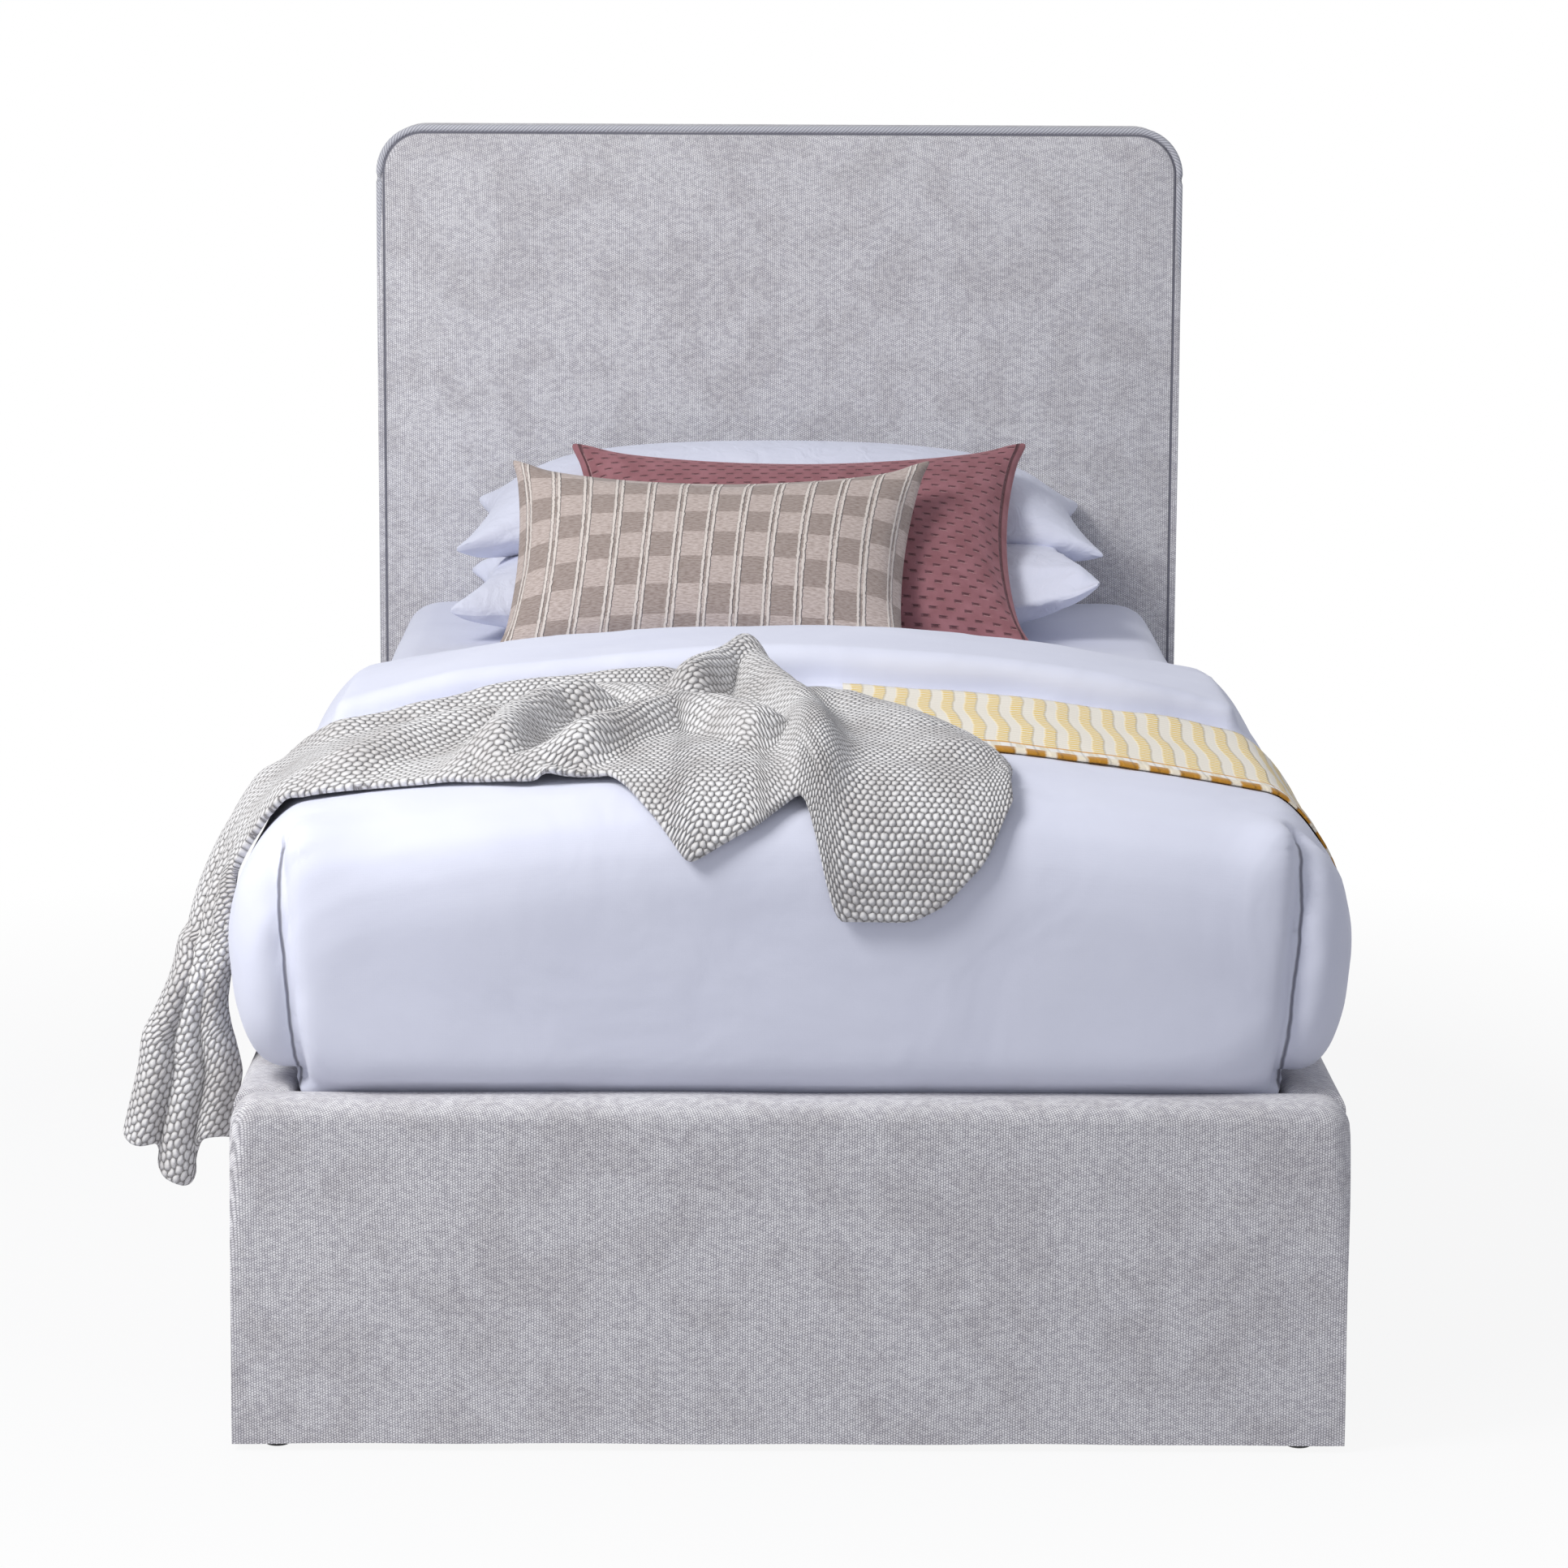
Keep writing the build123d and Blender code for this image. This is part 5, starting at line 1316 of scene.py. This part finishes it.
# %% Timber and board finishes
def timber(name, axis, pale, dark, fine=1.0):
    """Planed wood with its grain along one axis: growth lines 4 mm apart, pores finer."""
    made, tree, shader = start_finish(name, 0.62)
    spot = add(tree, "TexCoord")["Object"]
    scale = [1.0, 1.0, 1.0]
    scale[axis] = 0.05
    grain = add(tree, "Mapping", {"Vector": spot, "Scale": scale})[0]
    lines = {"Vector": grain, "Scale": 240.0 * fine, "Detail": 4.0, "Distortion": 0.3}
    rings = add(tree, "TexNoise", lines)["Fac"]
    slow = add(tree, "TexNoise", {"Vector": grain, "Scale": 28.0, "Detail": 3.0, "Distortion": 1.5})["Fac"]
    both = add(tree, "Math", {0: rings, 1: 0.4, 2: slow}, operation="MULTIPLY_ADD")[0]
    base = shades(tree, both, pale, dark, 0.5, 0.95)
    paint(tree, shader, base, rings, 0.0004, 0.5)
    return made


def chipboard():
    """Raw chipboard: pressed flakes a few millimetres long."""
    made, tree, shader = start_finish("chipboard_pressed", 0.8)
    spot = add(tree, "TexCoord")["Object"]
    flakes = add(tree, "TexVoronoi", {"Vector": spot, "Scale": 1 / 0.005, "Randomness": 1.0})
    tone = add(tree, "SeparateXYZ", {0: flakes["Color"]})["X"]
    base = shades(tree, tone, "#B4946A", "#D3BA93")
    paint(tree, shader, base, flakes["Distance"], 0.0004, 0.5)
    return made


def zinc():
    """Zinc plated steel: bright, slightly blue, with faint blotches."""
    made, tree, shader = start_finish("steel_zinc_plated", 0.32, Metallic=1.0)
    spot = add(tree, "TexCoord")["Object"]
    blotch = add(tree, "TexNoise", {"Vector": spot, "Scale": 160.0, "Detail": 3.0})["Fac"]
    paint(tree, shader, shades(tree, blotch, "#B4B8BD", "#D4D7DB", 0.35, 0.65), blotch, 0.0001, 0.4)
    return made


def black_plastic():
    """Moulded black polypropylene with a fine satin grain."""
    made, tree, shader = start_finish("polypropylene_moulded", 0.5)
    spot = add(tree, "TexCoord")["Object"]
    grain = add(tree, "TexNoise", {"Vector": spot, "Scale": 900.0, "Detail": 2.0})["Fac"]
    paint(tree, shader, shades(tree, grain, "#1C1C1E", "#2A2A2C", 0.4, 0.6), grain, 0.0002, 0.5)
    return made


def dust_cloth():
    """Black nonwoven cloth: felted fibres, matt."""
    made, tree, shader = start_finish("polypropylene_nonwoven", 0.95)
    spot = add(tree, "TexCoord")["Object"]
    dots = add(tree, "TexVoronoi", {"Vector": spot, "Scale": 1 / 0.0022, "Randomness": 0.1})["Distance"]
    fibres = add(tree, "TexNoise", {"Vector": spot, "Scale": 60.0, "Detail": 5.0})["Fac"]
    base = shades(tree, fibres, "#2B2B2E", "#3D3D41", 0.35, 0.65)
    paint(tree, shader, base, dots, 0.0004, 0.6)
    return made


finishes["softwood_x"] = timber("pine_planed_across", 0, "#D9B98A", "#B08A5A")
finishes["softwood_y"] = timber("pine_planed_along", 1, "#D9B98A", "#B08A5A")
finishes["softwood_z"] = timber("pine_planed_upright", 2, "#D9B98A", "#B08A5A")
finishes["plywood"] = timber("birch_plywood_sanded", 0, "#D8C29C", "#BFA274", 1.6)
finishes["chipboard"] = chipboard()
finishes["zinc_steel"] = zinc()
finishes["black_plastic"] = black_plastic()
finishes["dust_cloth"] = dust_cloth()
print(len(finishes), "finishes")

# %% [markdown]
# ## Back of the headboard
# The back is closed with thin black dust cloth, pulled tight and stapled near its edge. It is a block
# with two rounded corners, pressed flat to the thickness of the cloth and cut into cells.

# %% Dust cloth
cloth_half, cloth_top, cloth_corner, cloth_wall = 0.509, 1.139, 0.052, 0.0004
bm = box_mesh((-cloth_half, face, floor_gap), (cloth_half, head + cloth_wall, cloth_top))
round_edges(bm, lambda p: near(p.z, cloth_top) and near(abs(p.x), cloth_half), cloth_corner, 12, axis=1)
for vert in bm.verts:
    vert.co.y = max(vert.co.y, head - cloth_wall)
slice_up(bm, 0.03)
cloth = become("headboard_dust_cloth", bm, "dust_cloth", stands_for=("headboard_back_cloth",))
print("dust cloth ready")

# %% [markdown]
# ## Finishes for the solid model's own pieces
# Every solid node that is still shown gets the finish of what it is made of. The names say which.

# %% Give the nodes their finishes
by_word = [
    ("headboard_frame", "softwood_x"), ("headboard_panel", "plywood"), ("footboard_core", "chipboard"),
    ("rail_core", "chipboard"), ("ledger", "softwood_y"), ("post_core", "softwood_z"),
    ("slat_holders", "black_plastic"), ("slats", "plywood"), ("glides", "black_plastic"),
    ("brackets", "zinc_steel"), ("bolts", "zinc_steel"), ("screws", "zinc_steel"), ("axles", "zinc_steel"),
    ("castor_forks", "zinc_steel"), ("wheel", "black_plastic"), ("front_board", "chipboard"),
    ("_back", "plywood"), ("_sides", "plywood"), ("_bottom", "plywood"),
]
plain = []
for name, piece in nodes.items():
    match = [finish for word, finish in by_word if word in name]
    if match:
        piece.data.materials.clear()
        piece.data.materials.append(finishes[match[0]])
    else:
        plain.append(name)
print("nodes without a finish of their own:", plain)
